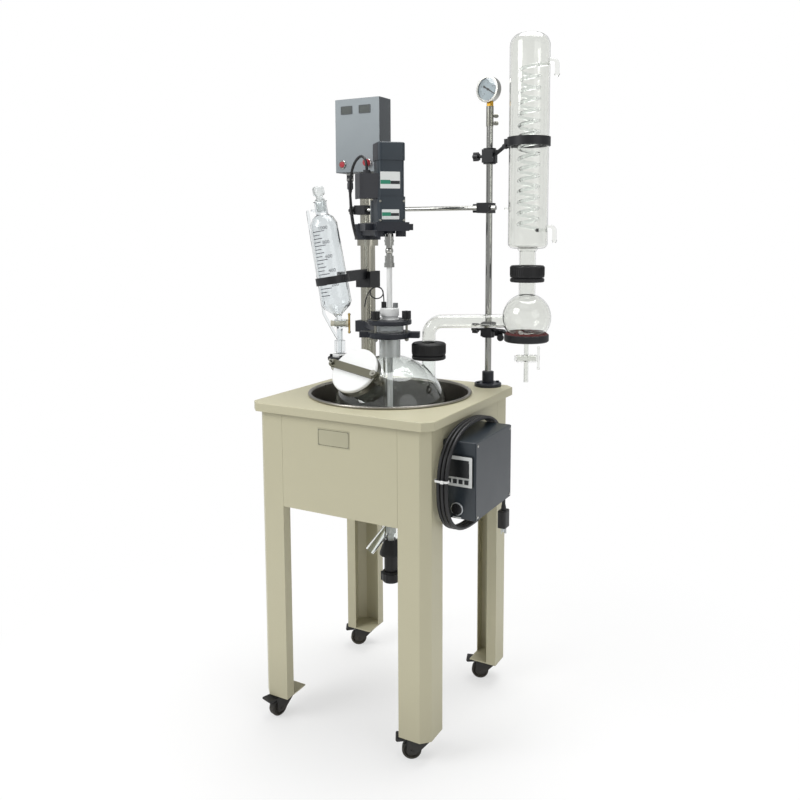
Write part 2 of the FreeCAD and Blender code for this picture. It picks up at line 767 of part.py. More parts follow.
# Head of the flask
def vessel_clamp():
    wide, ear, tall = d.clamp_radius, d.clamp_ear, d.clamp_tall
    seat = d.flange_level - d.clamp_level
    ring = turned([
        (d.neck_radius + 2, 0), (wide - 2, 0), (wide, 2), (wide, tall - 2), (wide - 2, tall),
        (d.flange_radius + 1, tall), (d.flange_radius + 1, seat), (d.neck_radius + 2, seat),
    ])
    solids = [ring]
    for side in (112, -68):
        out = heading(size(side))
        reach = ear - wide + 10
        spot = along((0, 0, 0), out, wide - 10 + reach / 2)
        solids.append(block(26, reach, tall, spot, spin(side)))
    back = (column[0] - vessel[0], column[1] - vessel[1], size(0))
    far = math.hypot(num(back[0]), num(back[1]))
    unit = (back[0] / far, back[1] / far, size(0))
    arm_turn = math.degrees(math.atan2(num(back[0]), -num(back[1])))
    arm_long = far - num(wide) - num(d.column_radius) - 4
    middle = along((0, 0, 0), unit, num(wide) - 2 + arm_long / 2)
    solids.append(block(34, arm_long, tall, middle, spin(arm_turn)))
    clamp_tall = tall + 17
    column_block = take(
        block(56, 54, clamp_tall, (back[0], back[1], tall - clamp_tall)),
        cylinder(d.column_radius, clamp_tall + 2, (back[0], back[1], tall - clamp_tall - 1)),
    )
    studs = [stud_hole(k, tall) for k in range(3)]
    solid = take(join(*solids, column_block), *studs)
    finish(solid, "vessel_clamp", (vessel[0], vessel[1], d.clamp_level))


def stud_hole(k, tall):
    spot = along((0, 0, -1), heading(d.stud_turn + 120 * k), d.stud_ring)
    return cylinder(d.stud_radius, tall + 2, spot)


def clamp_plate():
    thick = d.plate_thick
    ring = turned([
        (d.plate_bore, 0), (d.clamp_radius - 1.5, 0), (d.clamp_radius, 1.5),
        (d.clamp_radius, thick - 1.5), (d.clamp_radius - 1.5, thick), (d.plate_bore, thick),
    ])
    studs = [stud_hole(k, thick) for k in range(3)]
    finish(take(ring, *studs), "clamp_plate", (vessel[0], vessel[1], d.plate_level))


def clamp_screws():
    parts = []
    low = d.clamp_level - 8
    for k in range(3):
        spot = along((vessel[0], vessel[1], size(0)), heading(d.stud_turn + 120 * k), d.stud_ring)
        knob_level = d.plate_level + d.plate_thick + 3
        knob = star_knob(d.knob_radius, d.knob_tall, d.stud_radius, knob_level - low,
                         (spot[0], spot[1], knob_level), None)
        collar = cylinder(d.stud_radius + 3, 3, (spot[0], spot[1], knob_level - 3))
        nut = prism(6, 6, 6, (spot[0], spot[1], low + 2))
        parts.append(join(knob, collar, nut))
    finish(group(*parts), "clamp_screws")


def flask_lid():
    # glass cover flange over the flask flange
    bore = d.seal_radius - 4
    low = d.flange_level + d.flange_thick
    tall = d.plate_level - low
    solid = take(cylinder(d.flange_radius, tall), cylinder(bore, tall + 2, (0, 0, -1)))
    finish(solid, "flask_lid", (vessel[0], vessel[1], low))


def stir_seal():
    wide, top = d.seal_radius, d.seal_top - d.plate_level
    bore = d.shaft_radius + d.running
    plug = wide - 4.3
    depth = d.plate_level - d.flange_level - d.flange_thick
    body = turned([
        (bore, -depth), (plug, -depth), (plug, 0), (wide, 0), (wide, 14), (wide - 3, 16),
        (wide - 3, 20), (wide, 22), (wide, top - 2), (wide - 2, top), (bore, top),
    ])
    right = (reflux[0], reflux[1], size(0))
    nut = cylinder(6.5, 13, along((0, 0, top - 1), right, 15))
    elbow = cylinder(5.5, 16, along((0, 0, top - 11), right, -36), aim(reflux))
    probe_bore = cylinder(3.2, 80, along((0, 0, -20), right, -14.5))
    finish(take(join(body, nut, elbow), probe_bore), "stir_seal", (vessel[0], vessel[1], d.plate_level))


def temperature_probe():
    right = (reflux[0], reflux[1], size(0))
    spot = along((vessel[0], vessel[1], size(0)), right, -14.5)
    low = d.flask_level - 60
    tall = d.seal_top - low
    stem = cylinder(3, tall)
    head = cylinder(6.5, 15, (0, 0, tall))
    finish(join(stem, head), "temperature_probe", (spot[0], spot[1], low))


# Stirrer drive
def drive_spot(across, back):
    # a point in the drive's own frame, seen from the vessel axis
    across, back = size(across), size(back)
    turn = d.drive_turn
    x = vessel[0] + cosine(turn) * across - sine(turn) * back
    y = vessel[1] + sine(turn) * across + cosine(turn) * back
    return x, y


def rounded_pad(body, half, bend, low, tall):
    return pad(body, outline(body, "XY", rounded(half, half, bend), low), tall)


def motor():
    base = d.motor_level
    body = new_body()
    rounded_pad(body, d.cover_size / 2, d.motor_corner, 0, 6)
    rounded_pad(body, d.motor_size / 2, d.motor_corner, 0, d.cover_level - base)
    cap = rounded_pad(body, d.cover_size / 2, d.motor_corner + 2, d.cover_level - base,
                      d.drive_top - d.cover_level)
    top = (d.drive_top - base).value
    soften(body, cap, 4, lambda e: e.BoundBox.ZMin > top - 0.1)
    across = d.motor_size / 2 + d.terminal_reach / 2 - 1
    box = block(d.terminal_reach + 2, d.terminal_deep, d.terminal_tall, (-across, 0, 2))
    lid = block(3, d.terminal_deep + 4, d.terminal_tall + 2,
                (-d.motor_size / 2 - d.terminal_reach, 0, 1))
    gland = cylinder(d.gland_radius, 12, (gland_across, 0, d.terminal_tall))
    ring = prism(6, d.gland_radius + 2.5, 6, (gland_across, 0, d.terminal_tall))
    solid = join(body, box, lid, gland, ring)
    finish(solid, "motor", (vessel[0], vessel[1], base), spin(d.drive_turn))


gland_across = -d.motor_size / 2 - d.terminal_reach / 2


def gearbox():
    tall = d.motor_level - d.gear_level
    body = new_body()
    rounded_pad(body, d.cover_size / 2, d.motor_corner, 0, tall)
    bolts = []
    for x in (-1, 1):
        for y in (-1, 1):
            spot = (d.cover_size * 0.4 * x, d.cover_size * 0.4 * y, size(-3))
            bolts.append(cylinder(4, 3, spot))
    finish(join(body, *bolts), "gearbox", (vessel[0], vessel[1], d.gear_level), spin(d.drive_turn))


def motor_bracket():
    # column clamp, arm and the plate that carries the drive
    far = math.hypot(num(column[0] - vessel[0]), num(column[1] - vessel[1]))
    plate_half = d.cover_size / 2 + 10
    plate_thick = 22
    wide = d.column_radius + 16
    tall = 44
    drop = plate_thick + 24
    solids = [
        block(plate_half * 2 - 8, plate_half * 2, plate_thick, (0, 0, -plate_thick)),
        block(124, 34, 16, (0, 14, -plate_thick + 2)),
        block(56, far, plate_thick, (0, far / 2, -plate_thick)),
        block(44, far - 60, 12, (0, far / 2 + 20, -drop + 12)),
        block(78, 8, num(d.motor_level - d.gear_level), (0, num(d.cover_size) / 2 + 5, -1)),
        cylinder(wide, tall, (0, far, -drop)),
        cylinder(13, 14, (27, -14, -plate_thick - 14)),
        cylinder(13, 14, (-27, -14, -plate_thick - 14)),
        cylinder(16, 12, (0, 0, -plate_thick - 6)),
    ]
    bores = [
        cylinder(d.column_radius, tall + 40, (0, far, -drop - 10)),
        cylinder(7, 80, (0, 0, -60)),
    ]
    for x in (-1, 1):
        for y in (-1, 1):
            spot = (d.cover_size * 0.4 * x, d.cover_size * 0.4 * y, size(-4))
            bores.append(cylinder(4.2, 8, spot))
    solid = take(join(*solids), *bores)
    finish(solid, "motor_bracket", (vessel[0], vessel[1], d.gear_level), spin(arm_turn))


arm_turn = math.degrees(math.atan2(num(vessel[0] - column[0]), num(column[1] - vessel[1])))


def shaft_coupling():
    low, top, r = d.joint_low, d.joint_top, d.joint_radius
    tall = top - low
    bore = d.shaft_radius
    solids = [
        cylinder(r, 28, (0, 0, tall - 28)),
        cylinder(r * 0.72, tall - 14, (0, 0, 13)),
        sphere(r * 0.92, (0, 0, tall * 0.5)),
        cylinder(r, 18, (0, 0, 11)),
        cylinder(d.joint_collar, 11),
        cylinder(6, d.gear_level - top - 0.3, (0, 0, tall)),
        cylinder(2.6, r * 2 + 2, (-r - 1, 0, tall - 17), aim((1, 0, 0))),
        cylinder(2.6, r * 2 + 2, (0, -r - 1, 22), aim((0, 1, 0))),
        cylinder(2.2, r * 2 + 1, (0, -r - 0.5, tall * 0.5), aim((0, 1, 0))),
    ]
    solid = take(join(*solids), cylinder(bore, 28, (0, 0, -1)))
    finish(solid, "shaft_coupling", (vessel[0], vessel[1], low), spin(30))


def stirrer():
    low = d.shaft_bottom
    shaft = cylinder(d.shaft_radius, d.joint_low + 26 - low)
    sleeve = cylinder(d.shaft_radius + 1, 21, (0, 0, 896 - low))
    half, tall = d.blade_half, d.blade_tall
    blade = new_body()
    edge = [
        (-half + 14, 0), (half - 14, 0), (half, 14, 14), (half, tall - 6), (half - 6, tall, 6),
        (half * 0.55, tall), (half * 0.3, tall * 0.55), (-half * 0.3, tall * 0.55),
        (-half * 0.55, tall), (-half + 6, tall), (-half, tall - 6, 6), (-half, 14),
        (-half + 14, 0, 14),
    ]
    pad(blade, outline(blade, "XZ", edge[1:]), d.blade_thick, both=True)
    finish(join(shaft, sleeve, blade), "stirrer", (vessel[0], vessel[1], low), spin(40))


# Feed port cover, strap and swing bolt, drawn in the port's own frame
def frame_of(axis, roll):
    up = Vector(*[num(c) for c in axis])
    across = Vector(-up.y, up.x, 0).normalize()
    side = up.cross(across)
    return Rotation(across, side, up, "ZXY").multiply(Rotation(UP, roll))


feed_roll = -10
feed_frame = frame_of(feed_axis, feed_roll)
feed_origin = along((vessel[0], vessel[1], d.flask_level), feed_axis, d.feed_flange_far)
feed_side = tuple(feed_frame.multVec(Vector(1, 0, 0)))


def feed_clamp():
    # split ring under the flange with two lugs and their studs
    r, ring_out, lug = d.feed_flange_radius, d.feed_flange_radius + 4, d.stud_reach
    low = d.feed_flange_thick + 8
    ring = turned([
        (d.feed_neck_radius + 0.5, -low), (ring_out, -low), (ring_out, -1), (r + 0.3, -1),
        (r + 0.3, -d.feed_flange_thick), (d.feed_neck_radius + 0.5, -d.feed_flange_thick),
    ])
    parts = [ring]
    strap_top = d.cover_thick + d.strap_lift + d.strap_thick
    for side in (-1, 1):
        parts.append(block(lug - ring_out + 8, 22, 12, (side * (lug + ring_out) / 2, 0, -low)))
        parts.append(cylinder(11, 12, (side * (lug + 4), 0, -low)))
        parts.append(cylinder(d.stud_radius, strap_top + 14 + low, (side * lug, 0, -low)))
        parts.append(prism(6, 6.5, 5, (side * lug, 0, 12 - low)))
    parts.append(prism(6, 6.5, 5, (-lug, 0, strap_top + d.running)))
    finish(join(*parts), "feed_clamp", feed_origin, feed_frame)


def feed_cover():
    wide, thick = d.feed_flange_radius + 4, d.cover_thick
    body = turned([
        (0, 0), (wide - 1.5, 0), (wide, 1.5), (wide, thick - 4), (wide - 4, thick, 4), (0, thick),
    ])
    finish(body, "feed_cover", feed_origin, feed_frame)


def feed_strap():
    # flat bar that swings in its own plane round the left stud; its right end hooks the other stud
    span, half, gap = d.stud_reach * 2, d.strap_width / 2, d.stud_radius + d.running
    bar = new_body()
    pad(bar, outline(bar, "XY", [
        (0, -half, half), (span - gap, -half), (span - gap, 0), (span, gap, -gap),
        (span + gap, 0, -gap), (span + gap, -half), (span + half, -half),
        (span + half, half - 4), (span + half - 4, half, 4), (0, half), (-half, 0, half),
    ]), d.strap_thick)
    pocket(bar, circle(bar, "XY", gap), d.strap_thick, reverse=True)
    start = along(feed_origin, feed_side, -d.stud_reach)
    finish(bar, "feed_strap", along(start, feed_axis, d.cover_thick + d.strap_lift), feed_frame)


def feed_nut():
    # knurled hand nut on the right stud
    bore, tall = d.stud_radius + 0.05, 11
    body = new_body("nut")
    pad(body, circle(body, "XY", d.nut_radius), tall)
    groove = circle(body, "XY", 1.2, d.nut_radius + 0.4, 0)
    around(body, pocket(body, groove, tall, reverse=True), d.nut_grooves)
    pocket(body, circle(body, "XY", bore), tall, reverse=True)
    lift = d.cover_thick + d.strap_lift + d.strap_thick + d.running
    start = along(feed_origin, feed_side, d.stud_reach)
    finish(body, "feed_nut", along(start, feed_axis, lift), feed_frame)


# Dropping funnel
funnel_lean = heading(d.port_turn)
cock = (port[0], port[1], d.port_level + d.cock_above)
funnel_axis = (funnel_lean[0] * sine(d.funnel_tilt), funnel_lean[1] * sine(d.funnel_tilt),
               cosine(d.funnel_tilt))


def funnel_port():
    ring = d.port_ring_radius
    inner = d.side_neck_radius - 1
    body = turned([
        (inner, -10), (ring - 2, -10), (ring, -8), (ring, -2), (ring - 2, 0), (inner + 3, 0),
        (inner + 3, 5), (inner + 1, 8), (9, 8), (9, 0), (inner, 0),
    ])
    bolts = []
    for k in range(3):
        spot = heading(size(40 + 120 * k))
        bolts.append(cylinder(4, 5, (spot[0] * (ring - 7), spot[1] * (ring - 7), 0)))
        bolts.append(cylinder(3, 4, (spot[0] * (ring - 7), spot[1] * (ring - 7), -14)))
    finish(join(body, *bolts), "funnel_port", (port[0], port[1], d.port_level))


def funnel_body():
    wall = 2.5
    stem = d.stem_radius
    low, wide, shoulder, long = 24, d.funnel_radius, d.funnel_shoulder, d.funnel_long
    neck, top = d.funnel_neck, d.funnel_long + d.funnel_neck_long
    shell = turned([
        (4, low - 6), (8, low - 6), (12, low), (wide - 6, low + 18), (wide, low + 30),
        (shoulder, long - 24), (shoulder - 8, long - 8), (neck, long), (neck, top - 2),
        (neck + 2, top), (neck - wall, top), (neck - wall, long + 2),
        (shoulder - 8 - wall, long - 10), (shoulder - wall, long - 26), (wide - wall, low + 30),
        (wide - 6 - wall, low + 20), (10, low + 3), (4, low - 1),
    ])
    tilt = aim(funnel_axis)
    put(shell, (0, 0, 0), tilt)
    throat = cylinder(8, low - 4, (0, 0, 0), tilt)
    stem_drop = d.cock_above + 24
    barrel = cylinder(11, 30, along((0, 0, 0), tap_axis, -13), aim(tap_axis))
    low_stem = cylinder(stem, stem_drop, (0, 0, -stem_drop))
    socket = cylinder(stem + 6, 30, (0, 0, -d.cock_above + 12))
    side = tilt.multVec(Vector(-1, 0, 0))
    side = (side.x, side.y, side.z)
    reach = wide + 12
    pipe = d.arm_tube
    high = along(along((0, 0, 0), funnel_axis, long + 14), side, reach - 8)
    bottom = along(along((0, 0, 0), funnel_axis, low + 4), side, reach - 8)
    join_low = (size(0), size(0), -size(52))
    upper = [
        cylinder(pipe, long - low + 10, bottom, tilt),
        cylinder(pipe, reach - 8 - neck + 3, along((0, 0, 0), funnel_axis, long + 14), aim(side)),
        sphere(pipe, high),
        sphere(pipe, bottom),
    ]
    slant = tuple(b - j for b, j in zip(bottom, join_low))
    slant_long = math.sqrt(sum(num(c) ** 2 for c in slant))
    upper.append(cylinder(pipe, slant_long, join_low, aim(slant)))
    key_bore = cylinder(7.2, 60, along((0, 0, 0), tap_axis, -30), aim(tap_axis))
    spigot = cylinder(neck - wall, 14, along((0, 0, 0), funnel_axis, long + 4), tilt)
    hollow = cylinder(stem - 2.5, stem_drop, (0, 0, -stem_drop - 14))
    glass = take(join(shell, throat, barrel, low_stem, socket, *upper), key_bore, spigot, hollow)
    finish(glass, "funnel_body", cock)


tap_axis = heading(d.tap_turn)


def tap_key(handle, barrel_radius):
    # plug, yellow-white end disc and glass handle across it
    long = 44
    return join(
        cylinder(barrel_radius, long, (0, 0, -20)),
        cylinder(barrel_radius + 3, 5, (0, 0, 18)),
        cylinder(2.8, handle, (0, -handle / 2, 25), aim((0, 1, 0))),
        sphere(4, (0, -handle / 2, 25)),
        sphere(4, (0, handle / 2, 25)),
        cylinder(barrel_radius + 1, 3, (0, 0, -23)),
    )


def funnel_tap():
    finish(tap_key(46, size(7)), "funnel_tap", cock, frame_of(tap_axis, 0))


def funnel_stopper():
    neck, long = d.funnel_neck, d.funnel_neck_long
    body = turned([
        (0, -long + 8), (neck - 5, -long + 8), (neck - 2.7, -1), (neck - 2.7, 4), (9, 8), (9, 14),
        (neck - 1, 18), (neck - 1, 34), (neck - 4, 38), (0, 38),
    ])
    spot = along(cock, funnel_axis, d.funnel_long + long)
    finish(body, "funnel_stopper", spot, aim(funnel_axis))


def funnel_clamp():
    level = d.funnel_clamp_level
    tall = 46
    ring_height = level - cock[2]
    centre = along(cock, funnel_axis, (ring_height + 10) / cosine(d.funnel_tilt))
    grip = d.funnel_radius + 0.3
    down = tuple(-c for c in funnel_axis)
    ring = take(
        cylinder(grip + 3.5, 20, along((0, 0, 0), down, 10), aim(funnel_axis)),
        cylinder(grip, 40, along((0, 0, 0), down, 20), aim(funnel_axis)),
        block(40, 15, 60, along((0, 0, -30), (-1, 0, 0), grip + 8)),
    )
    back = (column[0] - centre[0], column[1] - centre[1], level - centre[2])
    far = math.hypot(num(back[0]), num(back[1]))
    turn = math.degrees(math.atan2(num(back[0]), -num(back[1])))
    unit = (back[0] / far, back[1] / far, size(0))
    arm_from = num(grip) + 3
    arm_long = far - arm_from - num(d.column_radius) - 2
    middle = along((0, 0, -9), unit, arm_from + arm_long / 2)
    arm = block(14, arm_long, 28, middle, spin(turn))
    boss = take(
        block(48, 54, tall, (back[0], back[1], back[2] - tall / 2)),
        cylinder(d.column_radius, tall + 2, (back[0], back[1], back[2] - tall / 2 - 1)),
    )
    finish(join(ring, arm, boss), "funnel_clamp", centre)


# Reflux line
def glass_elbow(shrink):
    ring = d.bend_radius
    tube = d.side_neck_radius - shrink
    start = d.reflux_neck_top + 2
    rise = d.bend_level - ring - start
    level_from = along((0, 0, d.bend_level), reflux, ring)
    upright = cylinder(tube, rise, (0, 0, start))
    corner = bend(ring, tube, (0, 0, d.bend_level - ring), (0, 0, 1), reflux)
    level = cylinder(tube, d.ball_along - ring - 40, level_from, aim(reflux))
    return [upright, corner, level]


def receiver_ball():
    offset = (reflux[0] * d.ball_along, reflux[1] * d.ball_along)
    centre = (offset[0], offset[1], d.ball_level)

    def walls(shrink):
        spare = 1 if num(shrink) else 0
        drain = d.ball_drain_radius - shrink * 0.6
        neck = d.ball_neck_top - d.ball_level
        stem = d.ball_level - d.tap_level
        return [
            *glass_elbow(shrink),
            sphere(d.ball_radius - shrink, centre),
            cylinder(d.ball_neck_radius - shrink, neck + spare, centre),
            cylinder(drain, stem, (offset[0], offset[1], d.tap_level)),
            cylinder(drain, d.tap_level - d.ball_drain_end + spare,
                     along((0, 0, d.ball_drain_end - spare), (*offset, 0), 1)),
        ]

    start = along((offset[0], offset[1], d.tap_level), tap_axis, -24)
    barrel = cylinder(10, 48, start, aim(tap_axis))
    outer = join(*walls(size(0)), barrel)
    key = cylinder(6.2, 80, along((offset[0], offset[1], d.tap_level), tap_axis, -40),
                   aim(tap_axis))
    finish(take(outer, *walls(d.glass), key), "receiver_ball", (*reflux_neck, 0))


def receiver_tap():
    key = join(
        cylinder(6, 56, (0, 0, -27)),
        cylinder(9, 4, (0, 0, 25)),
        cylinder(3.2, 54, (0, -27, 31.5), aim((0, 1, 0))),
        sphere(4.2, (0, -27, 31.5)),
        sphere(4.2, (0, 27, 31.5)),
        cylinder(8, 4, (0, 0, -29)),
    )
    finish(key, "receiver_tap", (*ball, d.tap_level), frame_of(tap_axis, 0))


def coupling(bore, level, spot):
    wide, nut, ring, gap = d.coupling_radius, d.nut_tall, d.ring_tall, d.coupling_gap
    body = turned([
        (bore, 0), (wide - 2, 0), (wide, 2), (wide, ring - 2), (wide - 2, ring),
        (wide - 5, ring), (wide - 5, ring + gap), (wide - 1, ring + gap), (wide, ring + gap + 1),
        (wide, ring + gap + nut - 3), (wide - 3, ring + gap + nut), (bore, ring + gap + nut),
    ])
    return put(body, (spot[0], spot[1], level))


def screw_couplings():
    bore = d.running
    lower = coupling(d.side_neck_radius + bore, d.lower_coupling, reflux_neck)
    upper = coupling(d.ball_neck_radius + bore, d.upper_coupling, ball)
    finish(group(lower, upper), "screw_couplings")


def condenser():
    wide, wall = d.condenser_radius, d.glass
    low = d.ball_neck_top + 2 - d.condenser_bottom
    tall = d.condenser_top - d.condenser_bottom
    neck = d.ball_neck_radius
    shell = turned([
        (neck - wall, low), (neck, low), (neck, -8), (neck + 6, 0), (wide - 14, 0), (wide, 14, 14),
        (wide, tall - 30), (wide - 30, tall, 30), (0, tall), (0, tall - wall),
        (wide - 30, tall - wall), (wide - wall, tall - 30, wall - 30), (wide - wall, 14),
        (wide - 14, wall, wall - 14), (neck + 4, wall), (neck - wall, -6),
    ])
    right = reflux
    solids = [shell]
    for level in (d.upper_spout, d.lower_spout):
        start = along((0, 0, level - d.condenser_bottom), right, wide - 2)
        corner = along(start, right, 10)
        solids.append(cylinder(d.spout_radius, 10, start, aim(right)))
        solids.append(bend(10, d.spout_radius, corner, right, (0, 0, -1)))
        tip = along((corner[0], corner[1], corner[2] - 10), right, 10)
        solids.append(cylinder(d.spout_radius, 24, (tip[0], tip[1], tip[2] - 24)))
        solids.append(cone(d.spout_radius - 1.5, d.spout_radius + 1.5, 7,
                           (tip[0], tip[1], tip[2] - 30)))
    vent = along((0, 0, 100), right, -wide + 2)
    solids.append(cylinder(4, 12, vent, aim(tuple(-c for c in right))))
    glass = join(*solids)
    helix = doc.addObject("Part::Helix", "winding")
    bind(helix, "Radius", d.coil_radius)
    bind(helix, "Pitch", d.coil_pitch)
    bind(helix, "Height", d.coil_pitch * d.coil_turns)
    loop = doc.addObject("Part::Circle", "loop")
    bind(loop, "Radius", d.coil_tube)
    put(loop, (d.coil_radius, 0, 0), Rotation(Vector(1, 0, 0), 90))
    tube = doc.addObject("Part::Sweep", "tube")
    tube.Sections = [loop]
    tube.Spine = (helix, ["Edge1"])
    tube.Solid = True
    tube.Frenet = True
    start = d.coil_start - d.condenser_bottom
    lead = d.condenser_radius - d.coil_radius - 1
    top = start + d.coil_pitch * d.coil_turns
    put(tube, (0, 0, start))
    stubs = [
        cylinder(d.coil_tube, lead, (d.coil_radius, 0, start), aim((1, 0, 0))),
        cylinder(d.coil_tube, lead, (d.coil_radius, 0, top), aim((1, 0, 0))),
    ]
    finish(group(glass, join(tube, *stubs)), "condenser", (*ball, d.condenser_bottom))


def condenser_strap():
    tall, r = d.band_tall, d.condenser_radius
    band = take(cylinder(r + 4, tall), cylinder(r + 0.3, tall + 2, (0, 0, -1)))
    back = (rod[0] - ball[0], rod[1] - ball[1], size(0))
    far = math.hypot(num(back[0]), num(back[1]))
    unit = (back[0] / far, back[1] / far, size(0))
    turn = math.degrees(math.atan2(num(back[0]), -num(back[1])))
    lug = block(24, 16, tall, along((0, 0, 0), unit, r + 10), spin(turn))
    fall = d.band_boss_level - d.band_level
    boss = clamp_boss(d.rod_radius, (back[0], back[1], fall - 9), turn)
    start = along((0, 0, tall / 2), unit, r + 14)
    end = along((0, 0, fall + tall / 2), unit, far - 12)
    reach = tuple(e - s for e, s in zip(end, start))
    long = math.sqrt(sum(num(c) ** 2 for c in reach))
    arm = cylinder(5, long, start, aim(reach))
    side = heading(size(turn + 90))
    wing = cylinder(6, 12, along(along((0, 0, 2), unit, r + 10), side, 12), aim(side))
    finish(join(band, lug, arm, boss, wing), "condenser_strap",
           (ball[0], ball[1], d.band_level - tall / 2))


def clamp_boss(radius, at, turn):
    # small clamp head round the rod with a star knob on its left
    tall = 40
    body = take(
        join(cylinder(radius + 8, tall), block(30, 34, tall - 6, (0, 0, 3))),
        cylinder(radius, tall + 2, (0, 0, -1)),
    )
    knob = star_knob(12, 14, 4, 18, (-size(radius) - 22, 0, tall / 2), aim((-1, 0, 0)))
    return put(join(body, knob), at)


def receiver_ring():
    r = d.ball_radius
    centre_drop = size(54)
    level = d.ball_level - centre_drop
    body = turned([(38, -8), (54, -8), (57, -5), (57, 10), (50, 16), (46, 12), (38, 4)])
    cup = sphere(r + 0.3, (0, 0, centre_drop))
    back = (rod[0] - ball[0], rod[1] - ball[1], size(0))
    far = math.hypot(num(back[0]), num(back[1]))
    unit = (back[0] / far, back[1] / far, size(0))
    turn = math.degrees(math.atan2(num(back[0]), -num(back[1])))
    rise = d.ring_boss_level - level
    boss = clamp_boss(d.rod_radius, (back[0], back[1], rise - 20), turn)
    start = along((0, 0, rise), unit, far - 8)
    knee = along((0, 0, rise), unit, 72)
    foot = along((0, 0, 0), unit, 56)
    slope = tuple(f - k for f, k in zip(foot, knee))
    slope_long = math.sqrt(sum(num(c) ** 2 for c in slope)) + 2
    solids = [
        body,
        cylinder(5, far - 82, knee, aim(unit)),
        sphere(5, knee),
        cylinder(5, slope_long, knee, aim(slope)),
        cylinder(9, 6, along((0, 0, rise - 18), unit, 82), aim((0.3, -1, 0))),
        block(5, 22, 16, along((0, 0, rise - 14), unit, 88), spin(turn + 60)),
        boss,
    ]
    finish(take(join(*solids), cup), "receiver_ring", (ball[0], ball[1], level))


# Gauge on the rod
def vacuum_gauge():
    r, deep = d.gauge_radius, d.gauge_deep
    case = turned([
        (0, 0), (r - 3, 0), (r, 3, 3), (r, deep - 4), (r + 1.5, deep - 3), (r + 1.5, deep),
        (r - 3, deep), (r - 3, deep - 6), (0, deep - 6),
    ])
    face = heading(d.gauge_turn)
    back = along((0, 0, d.gauge_level), face, -d.gauge_stem_back)
    put(case, back, frame_of(face, 0))
    tall = d.gauge_level - r - d.rod_top
    manifold = cylinder(d.manifold_radius, tall - 10, (0, 0, d.rod_top))
    nut = prism(6, d.hex_radius + 2, 14, (0, 0, d.gauge_level - r - 12))
    pipes = []
    for level in (8, 27):
        start = (0, 0, d.rod_top + level)
        pipes.append(cylinder(4, 22, start, aim(reflux)))
        pipes.append(cylinder(5.5, 8, along(start, reflux, 12), aim(reflux)))
    finish(group(case, join(manifold, nut, *pipes)), "vacuum_gauge", (rod[0], rod[1], 0))


def gauge_needle():
    # broad tail to one side of the hub, thin tip to the other
    r, deep = d.gauge_radius, d.gauge_deep
    tail, tip = r * 0.5, r - 6
    hub = cylinder(3, 2.5)
    pointer = new_body()
    pad(pointer, outline(pointer, "XY", [
        (-2.2, -tail), (2.2, -tail), (1.5, 0), (0.9, tip - 2), (0, tip), (-0.9, tip - 2), (-1.5, 0),
    ], 0.8), 1)
    face = heading(d.gauge_turn)
    at = along((rod[0], rod[1], d.gauge_level), face, deep - d.gauge_stem_back - 6)
    finish(join(hub, pointer), "gauge_needle", at, frame_of(face, -num(d.needle_turn)))


# Control box on the column
def control_box():
    wide, deep, tall = d.control_width, d.control_deep, d.control_tall
    body = new_body()
    slab = pad(body, outline(body, "XY", rounded(wide / 2, deep / 2, 2)), tall)
    top = tall.value
    soften(body, slab, 1.5, lambda e: e.BoundBox.ZMin > top - 0.1)
    spare = column[1] - d.column_radius - d.control_front - deep - d.running
    back = block(60, spare, 120, (column[0] - d.control_across, deep / 2 + spare / 2, 10))
    face = -deep / 2
    holes = [
        cylinder(8.3, 12, (switch_at[0], face + 8, switch_at[1]), aim((0, -1, 0))),
        cylinder(3.3, 8, (dial_at[0], face + 7, dial_at[1]), aim((0, -1, 0))),
    ]
    socket = cylinder(10, 6, (socket_across - d.control_across, socket_back - box_middle, -6))
    collar = cylinder(11, 2.5, (switch_at[0], face + 0.5, switch_at[1]), aim((0, -1, 0)))
    finish(take(join(body, back, socket, collar), *holes), "control_box",
           (d.control_across, box_middle, d.control_level))


box_middle = d.control_front + d.control_deep / 2
switch_at, dial_at = (-48, 22), (33, 24)
socket_across = d.control_across - 44
socket_back = d.control_front + 30


def power_switch():
    body = turned([(0, -4), (8, -4), (8, 4), (7, 5, 1), (0, 5)])
    spot = (d.control_across + switch_at[0], d.control_front, d.control_level + switch_at[1])
    finish(body, "power_switch", spot, frame_of((0, -1, 0), 0))


def speed_knob():
    body = turned([
        (0, -6), (3, -6), (3, 1), (9.5, 1), (9.5, 12), (8, 15), (0, 15),
    ])
    mark = block(2, 9, 1, (0, 4, 14.6))
    spot = (d.control_across + dial_at[0], d.control_front, d.control_level + dial_at[1])
    finish(join(body, mark), "speed_knob", spot, frame_of((0, -1, 0), 0))


# Bath heating box on the right side
bath_box_left = leg_x
bath_box_middle = d.bath_box_front + d.bath_box_long / 2
face_across = bath_box_left + d.bath_box_deep / 2


def heater_box():
    deep, long, tall = d.bath_box_deep, d.bath_box_long, d.bath_box_tall
    body = new_body()
    slab = pad(body, outline(body, "XY", rounded(deep / 2, long / 2, 3)), tall)
    top = tall.value
    soften(body, slab, 2, lambda e: e.BoundBox.ZMin > top - 0.1 or e.BoundBox.ZMax < 0.1)
    holes = [
        block(d.bezel - 8, 14, d.bezel - 8, (0, -long / 2 + 6, bezel_low + 4)),
        cylinder(4, 12, (dial_across - face_across, -long / 2 + 11, d.dial_level - d.bath_box_level),
                 aim((0, -1, 0))),
    ]
    gland = cylinder(8, 12, (d.power_cord * 0.62 - deep / 2 + 3.5, long / 2 - 2, 164), aim((0, 1, 0)))
    solid = join(take(body, *holes), gland)
    finish(solid, "heater_box", (face_across, bath_box_middle, d.bath_box_level))


bezel_low = d.bezel_level - d.bezel / 2 - d.bath_box_level
dial_across = face_across - 5


